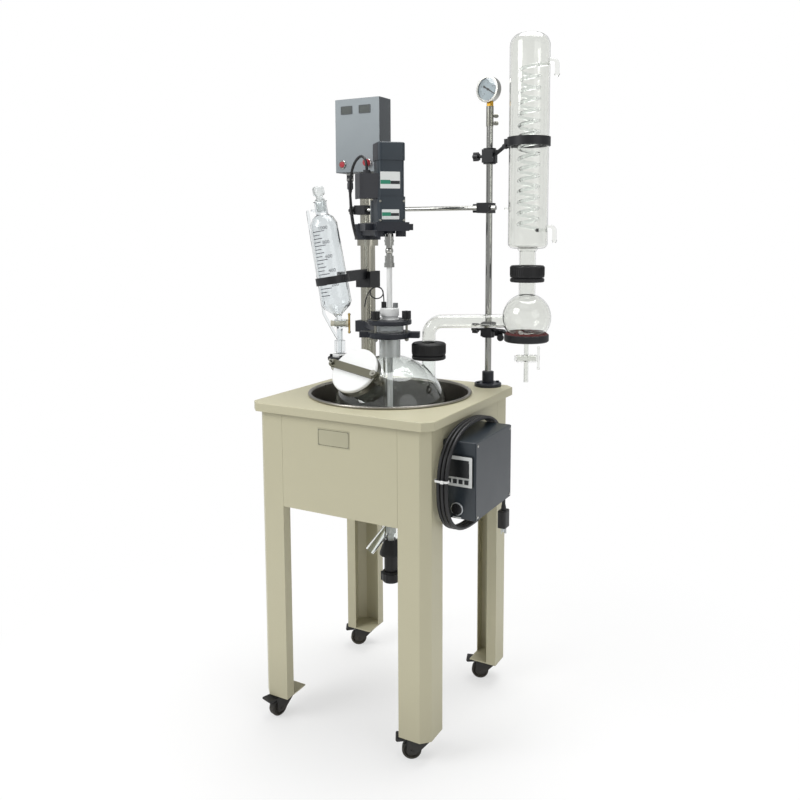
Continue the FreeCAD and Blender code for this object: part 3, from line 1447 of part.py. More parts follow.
def temperature_controller():
    half, thick = d.bezel / 2, d.bezel_thick
    frame = new_body()
    pad(frame, outline(frame, "XZ", rounded(half, half, 2)), thick)
    window = outline(frame, "XZ", rounded(half - 7, half - 14, 1), thick - 1.5)
    pocket(frame, window, 3, reverse=True)
    body = block(d.bezel - 10, 12, d.bezel - 10, (0, 6, -half + 5))
    finish(join(frame, body), "temperature_controller",
           (face_across, d.bath_box_front, d.bezel_level))


def heater_switch():
    r = d.dial_radius
    knob = turned([
        (0, -8), (3.6, -8), (3.6, 0.5), (r, 0.5), (r, 3), (r - 1.5, 4.5), (r - 5, 5), (0, 5),
    ])
    grip = block(5, r * 1.7, 9, (0, 0, 4))
    spot = (dial_across, d.bath_box_front, d.dial_level)
    finish(join(knob, grip), "heater_switch", spot, frame_of((0, -1, 0), 0))


# Discharge valve under the flask
def discharge_valve():
    drop = d.outlet_end
    body = turned([
        (14, 0), (17.5, 0), (30, -36), (30, -41), (18, -43), (18, -80), (14, -80),
    ])
    finish(body, "discharge_valve", (vessel[0], vessel[1], drop))


def discharge_knob():
    level = d.outlet_end - 81
    collar = turned([
        (0, 0), (16, 0), (16, -4), (21, -5), (25, -10), (25, -28), (21, -34), (0, -36),
    ])
    lobes = []
    for k in range(6):
        spot = heading(size(60 * k))
        lobes.append(cylinder(4.5, 22, along((0, 0, -30), spot, 23)))
    # plug on a stem, closing the flask outlet
    stem = turned([
        (0, -4), (10, -4), (10, 32), (8, 36), (8, 92), (13.2, 100), (13.2, 114), (9, 124), (0, 128),
    ])
    finish(join(collar, stem, *lobes), "discharge_knob", (vessel[0], vessel[1], level))


# Cords
def motor_cable():
    start = drive_spot(gland_across, 0)
    gland = Vector(num(start[0]), num(start[1]), num(d.motor_level + d.terminal_tall) + 12)
    plug_at = Vector(num(socket_across), num(socket_back), num(d.control_level) - 6 - 46)
    points = [
        gland,
        gland + Vector(0, 0, 22),
        gland + Vector(-22, 10, 40),
        gland + Vector(-56, 24, 18),
        gland + Vector(-80, 44, -34),
        gland + Vector(-92, 70, -96),
        gland + Vector(-104, 104, -154),
        gland + Vector(-126, 150, -176),
        plug_at + Vector(10, 4, -112),
        plug_at + Vector(0, 0, -58),
        plug_at,
    ]
    cable = cord(points, d.motor_cord, "motor cable")
    plug = turned([
        (0, 0), (5, 0), (5, 6), (d.plug_radius, 9), (d.plug_radius, 26), (d.plug_radius - 1.5, 28),
        (d.plug_radius + 1, 31), (d.plug_radius + 1, 46), (0, 46),
    ])
    put(plug, tuple(plug_at))
    finish(group(cable, plug), "motor_cable")


def full(part):
    # rounder than a circle's sine, so that the loops clear the box corners
    return math.copysign(abs(part) ** 0.8, part)


def mains_plug(top):
    # three flat pins point down from a flat-sided body
    wide, thick, long = num(d.plug_wide), num(d.plug_thick), num(d.plug_body)
    relief, pin = 14, (1.6, 6.3)
    body = new_body("plug")
    pad(body, outline(body, "XY", rounded(thick / 2, wide / 2, 6)), long, reverse=True)
    put(body, (0, 0, -relief))
    neck = cone(d.power_cord / 2 + 2.5, d.power_cord / 2 + 0.4, relief, (0, 0, -relief))
    pins = [
        block(*pin, d.pin_long, (-3, -7, -relief - long - d.pin_long), spin(30)),
        block(*pin, d.pin_long, (-3, 7, -relief - long - d.pin_long), spin(-30)),
        block(*pin, d.pin_long, (5, 0, -relief - long - d.pin_long), spin(90)),
    ]
    return put(join(body, neck, *pins), tuple(top))


def power_cord():
    # wound round the box like a belt; the tail hangs behind it and ends in a plug
    thick = num(d.power_cord)
    left = num(bath_box_left) + thick * 0.62 + 3.5
    middle_y = num(bath_box_middle) + 2
    middle_z = num(d.bath_box_level + d.bath_box_tall / 2) - 8
    half_y = num(d.bath_box_long) / 2 + num(d.cord_loop_side)
    half_z = num(d.bath_box_tall) / 2 + num(d.cord_loop_over)
    gland = Vector(left, num(bath_box_middle + d.bath_box_long / 2) + 10, 745)
    points = [
        gland,
        gland + Vector(0, 32, 0),
        gland + Vector(0, 58, -13),
        gland + Vector(0, 72, -37),
        gland + Vector(0, 74, -73),
        gland + Vector(0, 62, -105),
    ]
    step = 22.5
    for k in range(2, int(num(d.cord_turns) * 360 / step) + 1):
        angle = math.radians(step / 2 - step * k)
        points.append(Vector(
            left + thick * 1.08 * k * step / 360,
            middle_y + half_y * full(math.cos(angle)),
            middle_z + half_z * full(math.sin(angle)),
        ))
    last = points[-1]
    points += [last + Vector(4, 1, -52), last + Vector(6, -4, -108), last + Vector(6, -4, -160)]
    lead = cord(points, d.power_cord, "power cord")
    finish(group(lead, mains_plug(points[-1])), "power_cord")


def probe_cable():
    right = Vector(num(reflux[0]), num(reflux[1]), 0)
    spot = Vector(num(vessel[0]), num(vessel[1]), 0) - right * 14.5
    z0 = num(d.seal_top) + 15
    forward = Vector(-right.y, right.x, 0)
    points = [Vector(spot.x, spot.y, z0)]
    centre = spot - right * 18
    for k in range(9):
        angle = math.radians(20 + 60 * k)
        points.append(centre + right * (19 * math.cos(angle)) + forward * (-2.2 * k)
                      + Vector(0, 0, z0 + 24 + 17 * math.sin(angle)))
    tail = points[-1]
    points.append(tail - right * 12 + Vector(0, 0, -20))
    points.append(tail - right * 16 + forward * 5 + Vector(0, 0, -46))
    finish(cord(points, d.probe_cord, "probe cable"), "probe_cable")


# Everything above the table
BUILDERS = (
    bath_pan, heating_ring, main_column, support_rod, rod_fittings, reactor_flask,
    vessel_clamp, clamp_plate, clamp_screws, flask_lid, stir_seal, temperature_probe, motor,
    gearbox, motor_bracket, shaft_coupling, stirrer, feed_clamp, feed_cover, feed_strap,
    feed_nut, funnel_port, funnel_body, funnel_tap, funnel_stopper, funnel_clamp,
    receiver_ball, receiver_tap, screw_couplings, condenser, condenser_strap, receiver_ring,
    vacuum_gauge, gauge_needle, control_box, power_switch, speed_knob, heater_box,
    temperature_controller, heater_switch, discharge_valve, discharge_knob,
    motor_cable, power_cord, probe_cable,
)
for builder in BUILDERS:
    builder()


# Checking and writing
doc.recompute()
for obj in doc.Objects:
    bad = [word for word in obj.State if word in ("Invalid", "Error")]
    if bad:
        raise RuntimeError(f"{obj.Name} ({obj.Label}) is {bad}")
    if hasattr(obj, "Shape") and not obj.isDerivedFrom("App::Origin"):
        if obj in nodes and (obj.Shape.isNull() or not obj.Shape.isValid()):
            raise RuntimeError(f"{obj.Label} has no valid shape")
for obj in nodes:
    obj.Shape.exportStep(f"parts/{obj.Label}.step")
print(f"{len(nodes)} parts written")
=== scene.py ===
"""A glass reactor on a wheeled table: its finishes, fine pieces, cords, camera and light.

Metres, Z up, the origin on the floor under the middle of the table, the bare plate side at -Y.
"""

import logging
import math
from dataclasses import dataclass, field
from enum import Enum
from typing import Any, Callable, Sequence

import bmesh
import bpy
from mathutils import Matrix, Vector


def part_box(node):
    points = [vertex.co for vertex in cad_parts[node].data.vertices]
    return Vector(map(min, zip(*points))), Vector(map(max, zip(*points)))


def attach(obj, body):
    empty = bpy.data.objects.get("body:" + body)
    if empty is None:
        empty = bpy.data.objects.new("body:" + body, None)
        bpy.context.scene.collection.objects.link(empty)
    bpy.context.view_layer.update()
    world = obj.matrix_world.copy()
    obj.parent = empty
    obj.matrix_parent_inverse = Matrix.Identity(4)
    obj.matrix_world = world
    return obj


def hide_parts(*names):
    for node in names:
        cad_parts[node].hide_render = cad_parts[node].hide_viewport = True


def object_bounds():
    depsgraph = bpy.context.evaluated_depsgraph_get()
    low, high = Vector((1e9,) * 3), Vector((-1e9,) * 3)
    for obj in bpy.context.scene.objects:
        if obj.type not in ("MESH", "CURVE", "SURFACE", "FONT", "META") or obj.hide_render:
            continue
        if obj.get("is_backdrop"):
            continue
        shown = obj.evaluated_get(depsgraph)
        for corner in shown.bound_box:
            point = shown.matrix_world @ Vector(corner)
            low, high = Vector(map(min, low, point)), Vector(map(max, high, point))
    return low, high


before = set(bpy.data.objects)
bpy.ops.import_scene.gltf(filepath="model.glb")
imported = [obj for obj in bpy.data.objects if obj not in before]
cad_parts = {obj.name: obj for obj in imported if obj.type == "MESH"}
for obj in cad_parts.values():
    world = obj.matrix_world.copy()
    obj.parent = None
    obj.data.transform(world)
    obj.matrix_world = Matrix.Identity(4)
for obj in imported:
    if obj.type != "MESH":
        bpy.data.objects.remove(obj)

Colour = tuple[float, float, float]
Point = tuple[float, float, float]
Spot2 = tuple[float, float]
Test = Callable[[Vector], bool]
RIGHT = Vector((1.0, 0.0, 0.0))
BACK = Vector((0.0, 1.0, 0.0))
UP = Vector((0.0, 0.0, 1.0))
VESSEL_AXIS = Vector((0.0, 0.010, 0.0))
BALL_AXIS = Vector((0.3040, 0.1855, 0.0))
WHITE = (1.0, 1.0, 1.0, 1.0)
WELD = 0.00001
STAND = "stand"
LOG = logging.getLogger("glass_reactor")


def linear(colour: Colour) -> tuple[float, float, float, float]:
    """Turns a colour given in steps of 0 to 255 into the linear one that a shader takes.

    Args:
        colour: Red, green and blue as a screen shows them.

    Returns:
        The linear colour with full cover.
    """
    steps = [c / 255 for c in colour]
    red, green, blue = [s / 12.92 if s <= 0.04045 else ((s + 0.055) / 1.055) ** 2.4 for s in steps]
    return (red, green, blue, 1.0)


def compass(turn: float) -> Vector:
    """The level direction at a turn in degrees from the plate side (-Y) towards +X."""
    return Vector((math.sin(math.radians(turn)), -math.cos(math.radians(turn)), 0.0))


# Shader sums
class Value:
    """A socket that varies over a surface, with arithmetic written as plain sums."""

    def __init__(self, shader: "Shader", socket: bpy.types.NodeSocket) -> None:
        """Wraps a socket.

        Args:
            shader: The material that the socket belongs to.
            socket: The output that carries the value.
        """
        self.shader = shader
        self.socket = socket

    def _sum(self, operation: str, first: Any, second: Any) -> "Value":
        """Adds one Math node and returns its result."""
        return self.shader.node("ShaderNodeMath", {"operation": operation}, {0: first, 1: second})

    def __add__(self, other: Any) -> "Value":
        """This value plus another."""
        return self._sum("ADD", self, other)

    def __radd__(self, other: Any) -> "Value":
        """Another value plus this one."""
        return self._sum("ADD", other, self)

    def __sub__(self, other: Any) -> "Value":
        """This value less another."""
        return self._sum("SUBTRACT", self, other)

    def __rsub__(self, other: Any) -> "Value":
        """Another value less this one."""
        return self._sum("SUBTRACT", other, self)

    def __mul__(self, other: Any) -> "Value":
        """This value times another."""
        return self._sum("MULTIPLY", self, other)

    def __rmul__(self, other: Any) -> "Value":
        """Another value times this one."""
        return self._sum("MULTIPLY", other, self)

    def __truediv__(self, other: Any) -> "Value":
        """This value over another."""
        return self._sum("DIVIDE", self, other)

    def __pow__(self, other: Any) -> "Value":
        """This value raised to a power."""
        return self._sum("POWER", self, other)

    def above(self, level: float) -> "Value":
        """1 where the value is over a level, else 0."""
        return self._sum("GREATER_THAN", self, level)


class Shader:
    """One material or sky under construction: every node of it comes from here."""

    def __init__(self, name: str, sky: bool = False) -> None:
        """Starts an empty material or sky.

        Args:
            name: What it is called.
            sky: Whether it is the sky round the object.
        """
        self.owner = (bpy.data.worlds if sky else bpy.data.materials).new(name)
        self.owner.use_nodes = True
        self.tree = self.owner.node_tree
        self.tree.nodes.clear()
        self.output = "ShaderNodeOutputWorld" if sky else "ShaderNodeOutputMaterial"

    def node(
        self,
        kind: str,
        settings: dict[str, Any] | None = None,
        inputs: dict[int | str, Any] | None = None,
        output: int | str = 0,
    ) -> Value:
        """Adds a node of any kind.

        Args:
            kind: The node's type.
            settings: Its own choices, set first; "stops" gives a ramp's places and colours.
            inputs: What goes to its sockets, each a number, a colour or another value.
            output: The socket that carries its result.

        Returns:
            The result as a value.
        """
        made = self.tree.nodes.new(kind)
        for name, choice in (settings or {}).items():
            if name == "stops":
                self._ramp(made, choice)
            else:
                setattr(made, name, choice)
        for key, given in (inputs or {}).items():
            if isinstance(given, Value):
                self.tree.links.new(given.socket, made.inputs[key])
            else:
                made.inputs[key].default_value = given
        return Value(self, made.outputs[output])

    @staticmethod
    def _ramp(made: bpy.types.Node, stops: Sequence[Spot2]) -> None:
        """Sets a ramp's grey stops.

        Args:
            made: The ramp's node.
            stops: Each stop's place and level.
        """
        elements = made.color_ramp.elements
        while len(elements) < len(stops):
            elements.new(0.5)
        for element, (place, level) in zip(elements, stops):
            element.position = place
            element.color = (level, level, level, 1.0)

    def place(self, stretch: Point = (1.0, 1.0, 1.0)) -> Value:
        """The surface's own place in metres, stretched along each axis."""
        spot = self.node("ShaderNodeTexCoord", output="Object")
        return self.node("ShaderNodeVectorMath", {"operation": "MULTIPLY"}, {0: spot, 1: stretch})

    def noise(self, per_metre: float, stretch: Point = (1.0, 1.0, 1.0), detail: float = 3.0) -> Value:
        """Soft noise from 0 to 1.

        Args:
            per_metre: How many clouds fit in a metre.
            stretch: How much denser it is along each axis.
            detail: How many finer layers it has.

        Returns:
            The noise's value.
        """
        inputs = {"Vector": self.place(stretch), "Scale": per_metre, "Detail": detail}
        return self.node("ShaderNodeTexNoise", {"noise_dimensions": "3D"}, inputs)

    def blend(self, share: Any, first: Any, second: Any) -> Value:
        """Mixes two colours by a share that may vary."""
        settings = {"data_type": "RGBA", "clamp_factor": True}
        return self.node("ShaderNodeMix", settings, {0: share, 6: first, 7: second}, output=2)

    def relief(self, height: Value, depth: float, strength: float = 1.0) -> Value:
        """A bump of the given depth in metres."""
        inputs = {"Height": height, "Distance": depth, "Strength": strength}
        return self.node("ShaderNodeBump", {}, inputs)

    def seen(self) -> Value:
        """How much a ray is what the camera sees.

        Returns:
            1 where the camera looks, straight or through glass, and 0 for what lights the object.
        """
        straight = self.node("ShaderNodeLightPath", output="Is Camera Ray")
        through = self.node("ShaderNodeLightPath", output="Is Transmission Ray")
        return self.node("ShaderNodeMath", {"operation": "MAXIMUM"}, {0: straight, 1: through})

    def close(self, surface: Value) -> bpy.types.Material | bpy.types.World:
        """Joins the surface to the output.

        Args:
            surface: What the material or sky shows.

        Returns:
            The finished material or sky.
        """
        output = self.tree.nodes.new(self.output)
        self.tree.links.new(surface.socket, output.inputs["Surface"])
        return self.owner


# Finishes
class Grain(Enum):
    """Which way the fine marks of making run."""

    EVEN = (1.0, 1.0, 1.0)
    UPRIGHT = (1.0, 1.0, 0.03)
    LEVEL = (0.03, 0.03, 1.0)


@dataclass(frozen=True)
class Finish:
    """A surface that hides what is under it: paint, plastic, rubber or bare metal."""

    name: str
    colour: Colour
    drift: Colour
    roughness: float = 0.5
    metallic: float = 0.0
    coat: float = 0.0
    clouds: float = 9.0
    grain: Grain = Grain.EVEN
    grains: float = 900.0
    depth: float = 0.00004
    uneven: float = 0.12
    dust: float = 0.0
    dust_level: float = 0.12

    def material(self) -> bpy.types.Material:
        """Builds the material.

        Returns:
            A material whose colour, roughness and relief vary over the surface.
        """
        shader = Shader(self.name)
        cloud = shader.noise(self.clouds)
        fine = shader.noise(self.grains, self.grain.value, 2.0)
        colour = shader.blend(cloud, linear(self.colour), linear(self.drift))
        rough = self.roughness + (cloud - 0.5) * self.uneven + (fine - 0.5) * self.uneven
        if self.dust:
            height = shader.node("ShaderNodeSeparateXYZ", {}, {0: shader.place()}, "Z")
            ramp = {"stops": [(0.0, 1.0), (1.0, 0.0)]}
            low = shader.node("ShaderNodeValToRGB", ramp, {0: height / self.dust_level})
            colour = shader.blend(low * cloud * self.dust, colour, linear((128, 120, 104)))
            rough = rough + low * 0.15
        inputs = {
            "Base Color": colour,
            "Roughness": rough,
            "Metallic": self.metallic,
            "Coat Weight": self.coat,
            "Coat Roughness": 0.12,
            "Normal": shader.relief(fine, self.depth, 0.6),
        }
        return shader.close(shader.node("ShaderNodeBsdfPrincipled", {}, inputs))


@dataclass(frozen=True)
class Glass:
    """Clear blown or pressed glass, with the slow waves of its blowing."""

    name: str
    colour: Colour = (250, 253, 252)
    roughness: float = 0.0
    clear: float = 1.0
    index: float = 1.47
    waves: float = 26.0
    depth: float = 0.0002

    def material(self) -> bpy.types.Material:
        """Builds the material.

        Returns:
            A clear material with a faint uneven surface.
        """
        shader = Shader(self.name)
        wave = shader.noise(self.waves, detail=1.0)
        inputs = {
            "Base Color": linear(self.colour),
            "Roughness": self.roughness,
            "IOR": self.index,
            "Transmission Weight": self.clear,
            "Normal": shader.relief(wave, self.depth, 0.35),
        }
        return shader.close(shader.node("ShaderNodeBsdfPrincipled", {}, inputs))


@dataclass(frozen=True)
class PaintedGlow:
    """A lens, button or window with a faint emission of its own, which is painted light on a part that is
    no lamp.
    """

    name: str
    colour: Colour
    # painted light: the emission strength of a part that is no lamp
    painted_glow: float = 0.0
    roughness: float = 0.34

    def material(self) -> bpy.types.Material:
        """Builds the material.

        Returns:
            A glossy material with painted light, a faint emission that is a little stronger in places.
        """
        shader = Shader(self.name)
        cloud = shader.noise(60.0)
        dark = tuple(c * 0.8 for c in self.colour)
        colour = shader.blend(cloud, linear(self.colour), linear(dark))
        inputs = {
            "Base Color": colour,
            "Roughness": self.roughness + (cloud - 0.5) * 0.08,
            # painted light: the part sends out its own colour, though it is no lamp
            "Emission Color": colour,
            "Emission Strength": self.painted_glow,
            "Normal": shader.relief(cloud, 0.00002),
        }
        return shader.close(shader.node("ShaderNodeBsdfPrincipled", {}, inputs))


CABINET = Finish("cabinet_paint", (193, 188, 160), (188, 183, 155), 0.46, coat=0.08, clouds=3.0,
                 grains=1300.0, depth=0.00006, dust=0.35, dust_level=0.2)
POLISHED_BATH = Finish("bath_steel", (176, 172, 165), (150, 147, 139), 0.3, 1.0, clouds=14.0,
                       grain=Grain.LEVEL, grains=1500.0, depth=0.00003)
CHROME = Finish("rod_chrome", (196, 196, 192), (178, 178, 172), 0.14, 1.0, grain=Grain.UPRIGHT,
                grains=1800.0, depth=0.00001, uneven=0.06)
STAINLESS = Finish("plain_steel", (168, 167, 158), (146, 145, 136), 0.3, 1.0, grains=1600.0,
                   depth=0.00002)
ALUMINIUM = Finish("column_aluminium", (206, 203, 190), (186, 183, 169), 0.2, 1.0,
                   grain=Grain.UPRIGHT, grains=1500.0, depth=0.00002)
ZINC = Finish("zinc_plate", (150, 152, 152), (122, 124, 124), 0.38, 0.9, dust=0.3, dust_level=0.06)
NAVY = Finish("navy_enamel", (27, 32, 42), (21, 25, 34), 0.42, coat=0.08, grains=1200.0)
BLACK_STEEL = Finish("black_enamel", (24, 25, 29), (18, 19, 22), 0.44, coat=0.05, grains=1200.0)
BLACK_PLASTIC = Finish("black_plastic", (21, 21, 23), (16, 16, 17), 0.5, grains=1500.0,
                       depth=0.00006)
SLATE = Finish("motor_slate", (47, 57, 65), (41, 50, 58), 0.46, coat=0.05, grains=1000.0,
               depth=0.00009)
TERMINAL_GREY = Finish("terminal_grey", (58, 59, 64), (50, 51, 55), 0.5)
BOX_BLUE = Finish("heater_box_paint", (46, 54, 61), (40, 48, 55), 0.34, coat=0.12, grains=1100.0,
                  depth=0.00008)
SILVER = Finish("silver_panel", (142, 149, 152), (132, 139, 143), 0.42, 0.3, grain=Grain.LEVEL,
                grains=1400.0, depth=0.00002)
BOX_GREY = Finish("control_box_paint", (76, 80, 83), (68, 72, 75), 0.46, coat=0.05)
PTFE = Finish("white_ptfe", (240, 241, 240), (231, 232, 230), 0.42, clouds=30.0, depth=0.00002)
KEY_PTFE = Finish("tap_ptfe", (230, 226, 208), (222, 217, 196), 0.4, clouds=60.0)
TAP_NUT = Finish("tap_nut", (216, 186, 112), (202, 168, 92), 0.36, clouds=60.0)
BAR_STEEL = Finish("strap_steel", (112, 110, 97), (94, 93, 80), 0.4, 0.9, grains=1400.0,
                   depth=0.00003)
RING_STEEL = Finish("ring_steel", (206, 210, 212), (194, 198, 200), 0.3, 0.35, coat=0.2)
BRASS = Finish("gauge_brass", (214, 170, 72), (188, 142, 52), 0.26, 1.0)
WHEEL = Finish("wheel_rubber", (26, 26, 27), (38, 38, 38), 0.68, depth=0.00009, dust=0.5,
               dust_level=0.05)
HUB = Finish("wheel_hub", (126, 128, 129), (108, 110, 111), 0.46)
PEDAL = Finish("pedal_plastic", (24, 24, 26), (33, 33, 34), 0.5, depth=0.00007, dust=0.3,
               dust_level=0.06)
RED_PAD = Finish("ring_pad", (108, 44, 42), (88, 33, 33), 0.62, depth=0.00009)
NEEDLE = Finish("needle_black", (18, 18, 20), (26, 26, 28), 0.4)
LABEL = Finish("label_white", (236, 238, 236), (226, 228, 226), 0.45, depth=0.00002)
LABEL_GREEN = Finish("label_green", (44, 142, 112), (36, 128, 100), 0.45, depth=0.00002)
PLATE = Finish("bare_plate", (190, 186, 160), (174, 170, 146), 0.34, 0.5, grain=Grain.LEVEL,
               grains=1500.0, depth=0.00002)
PLATE_EDGE = Finish("plate_edge", (92, 92, 74), (80, 80, 64), 0.4, 0.4)
BEZEL = Finish("bezel_white", (222, 224, 222), (212, 214, 212), 0.4, depth=0.00003)
KEY = Finish("key_black", (30, 34, 36), (38, 42, 44), 0.5)
DIAL = Finish("dial_white", (200, 211, 217), (190, 202, 209), 0.4, depth=0.00001)
INK = Finish("scale_ink", (26, 28, 44), (34, 36, 54), 0.6, depth=0.00001)
CORD = Finish("cord_rubber", (22, 22, 24), (31, 31, 33), 0.46, grains=1400.0, depth=0.00007)
TIE = Finish("tie_nylon", (236, 236, 234), (224, 224, 222), 0.4)
# The next three finishes carry painted light: a faint emission on the display windows, the controller
# screen, the power switch and the speed knob, which are no lamps.
LCD = PaintedGlow("display_window", (58, 66, 62), 0.02)
SCREEN = PaintedGlow("controller_screen", (26, 29, 31), 0.02, 0.3)
RED_PAINTED_GLOW = PaintedGlow("red_painted_glow", (178, 38, 50), 0.1)
VESSEL_GLASS = Glass("vessel_glass", (243, 246, 244))
LINE_GLASS = Glass("line_glass", (238, 239, 236), waves=34.0)
COIL_GLASS = Glass("coil_glass", (240, 243, 242), 0.08, waves=60.0, depth=0.0004)
FUNNEL_GLASS = Glass("funnel_glass", (236, 239, 240), 0.03)
FLANGE_GLASS = Glass("flange_glass", (218, 224, 225), 0.4, clear=0.25)
FROSTED = Glass("ground_glass", (240, 243, 242), 0.3, clear=0.75)
LENS = Glass("gauge_lens", (250, 252, 252), waves=8.0, depth=0.00002)


class Paints:
    """Keeps one material for each finish."""

    def __init__(self) -> None:
        """Starts with none made."""
        self._made: dict[str, bpy.types.Material] = {}

    def __call__(self, finish: Finish | Glass | PaintedGlow) -> bpy.types.Material:
        """Looks a finish's material up, and makes it when it is first asked for.

        Args:
            finish: The finish.

        Returns:
            Its material.
        """
        if finish.name not in self._made:
            self._made[finish.name] = finish.material()
        return self._made[finish.name]


PAINTS = Paints()


# Flat working planes
@dataclass(frozen=True)
class Face:
    """A flat plane on a piece: a point of it, and which way is across and up on it."""

    origin: Vector
    across: Vector
    up: Vector = UP

    @property
    def out(self) -> Vector:
        """The way that the plane faces."""
        return self.across.cross(self.up)

    def at(self, across: float, up: float, out: float = 0.0) -> Vector:
        """A point given by its distances on the plane."""
        return self.origin + self.across * across + self.up * up + self.out * out

    def matrix(self, across: float = 0.0, up: float = 0.0, out: float = 0.0) -> Matrix:
        """The placement that carries a piece drawn in X and Y, rising in Z, onto the plane."""
        turn = Matrix((self.across, self.up, self.out)).transposed().to_4x4()
        return Matrix.Translation(self.at(across, up, out)) @ turn


# Meshes
class Workshop:
    """Draws meshes, dresses them and sets each on its body."""

    @staticmethod
    def lathe(profile: Sequence[Spot2], steps: int = 48) -> bmesh.types.BMesh:
        """Turns a profile round Z.

        Args:
            profile: Radius and height of each corner; a closed ring unless it starts on the axis.
            steps: How many sides the round has.

        Returns:
            The turned mesh.
        """
        made = bmesh.new()
        rings = []
        on_axis = 1e-7
        for radius, height in profile:
            if radius < on_axis:
                rings.append([made.verts.new((0.0, 0.0, height))])
                continue
            angles = [2 * math.pi * k / steps for k in range(steps)]
            ring = [(radius * math.cos(a), radius * math.sin(a), height) for a in angles]
            rings.append([made.verts.new(spot) for spot in ring])
        closed = profile[0][0] > on_axis and profile[-1][0] > on_axis
        pairs = list(zip(rings, rings[1:])) + ([(rings[-1], rings[0])] if closed else [])
        for low, high in pairs:
            for k in range(steps):
                after = (k + 1) % steps
                corners = [low[k % len(low)], low[after % len(low)],
                           high[after % len(high)], high[k % len(high)]]
                distinct = list(dict.fromkeys(corners))
                if len(distinct) > 2:
                    made.faces.new(distinct)
        bmesh.ops.recalc_face_normals(made, faces=made.faces)
        return made

    @staticmethod
    def outline(wide: float, tall: float, corner: float, steps: int = 5) -> list[Spot2]:
        """Draws a rounded rectangle about the middle.

        Args:
            wide: Its width.
            tall: Its height.
            corner: The radius of its corners.
            steps: How many sides a corner has.

        Returns:
            Its corners, anticlockwise.
        """
        spots = []
        for turn, (x, y) in enumerate([(1, 1), (-1, 1), (-1, -1), (1, -1)]):
            centre = (x * (wide / 2 - corner), y * (tall / 2 - corner))
            for k in range(steps + 1):
                angle = math.pi / 2 * (turn + k / steps)
                spots.append((centre[0] + corner * math.cos(angle),
                              centre[1] + corner * math.sin(angle)))
        return spots

    @staticmethod
    def slab(outline: Sequence[Spot2], thick: float, bevel: float = 0.0) -> bmesh.types.BMesh:
        """A flat piece with its top edge softened.

        Args:
            outline: The corners, anticlockwise.
            thick: How far it rises.
            bevel: How much of the top edge is taken off.

        Returns:
            The mesh, drawn in X and Y and rising in Z.
        """
        made = bmesh.new()
        shrink = max(max(abs(x) for x, _ in outline), max(abs(y) for _, y in outline))
        levels = [(0.0, 1.0), (thick - bevel, 1.0)]
        if bevel:
            levels.append((thick, 1.0 - bevel / shrink))
        rings = [[made.verts.new((x * s, y * s, z)) for x, y in outline] for z, s in levels]
        for low, high in zip(rings, rings[1:]):
            for k in range(len(low)):
                after = (k + 1) % len(low)
                made.faces.new((low[k], low[after], high[after], high[k]))
        made.faces.new(rings[-1])
        made.faces.new(list(reversed(rings[0])))
        bmesh.ops.recalc_face_normals(made, faces=made.faces)
        return made

    @staticmethod
    def four(across: float, up: float) -> list[Spot2]:
        """The four corners of a rectangle, given by half its width and height."""
        return [(x * across, y * up) for x in (-1, 1) for y in (-1, 1)]

    @staticmethod
    def ring(wide: float, tall: float, border: float, corner: float, thick: float) -> bmesh.types.BMesh:
        """A flat frame with an open middle.

        Args:
            wide: Its width.
            tall: Its height.
            border: How wide its bars are.
            corner: The radius of its outer corners.
            thick: How far it rises.

        Returns:
            The mesh, drawn in X and Y and rising in Z.
        """
        made = bmesh.new()
        outer = Workshop.outline(wide, tall, corner)
        inner = Workshop.outline(wide - 2 * border, tall - 2 * border, max(corner - border, 0.0003))
        loops = [(outer, 0.0), (outer, thick), (inner, thick), (inner, 0.0)]
        rings = [[made.verts.new((x, y, z)) for x, y in loop] for loop, z in loops]
        for low, high in zip(rings, rings[1:] + rings[:1]):
            for k in range(len(low)):
                after = (k + 1) % len(low)
                made.faces.new((low[k], low[after], high[after], high[k]))
        bmesh.ops.recalc_face_normals(made, faces=made.faces)
        return made

    @staticmethod
    def together(parts: Sequence[tuple[bmesh.types.BMesh, Matrix]]) -> bmesh.types.BMesh:
        """Puts several meshes into one.

        Args:
            parts: Each mesh, used up here, and its place.

        Returns:
            The joined mesh.
        """
        whole = bmesh.new()
        for part, matrix in parts:
            bmesh.ops.transform(part, matrix=matrix, verts=part.verts)
            data = bpy.data.meshes.new("part")
            part.to_mesh(data)
            part.free()
            whole.from_mesh(data)
            bpy.data.meshes.remove(data)
        return whole

    @staticmethod
    def lettering(words: str, size: float, thick: float = 0.0001) -> bmesh.types.BMesh:
        """Draws plain numbers.

        Args:
            words: The numbers.
            size: How tall a line of them is.
            thick: How far they rise above and below their middle.

        Returns:
            A thin mesh about the middle, in X and Y.
        """
        text = bpy.data.curves.new("words", "FONT")
        text.body = words
        text.size = size
        text.extrude = thick
        text.align_x = "CENTER"
        text.align_y = "CENTER"
        text.resolution_u = 3
        holder = bpy.data.objects.new("words", text)
        bpy.context.scene.collection.objects.link(holder)
        bpy.context.view_layer.update()
        graph = bpy.context.evaluated_depsgraph_get()
        data = bpy.data.meshes.new_from_object(holder.evaluated_get(graph))
        made = bmesh.new()
        made.from_mesh(data)
        bpy.data.objects.remove(holder)
        bpy.data.meshes.remove(data)
        return made

    @staticmethod
    def soften(piece: bpy.types.Object, angle: float = 32.0) -> None:
        """Smooths a piece but keeps its sharp edges.

        Args:
            piece: The piece.
            angle: From how many degrees an edge stays sharp.
        """
        for polygon in piece.data.polygons:
            polygon.use_smooth = True
        split = piece.modifiers.new("sharp_edges", "EDGE_SPLIT")
        split.split_angle = math.radians(angle)

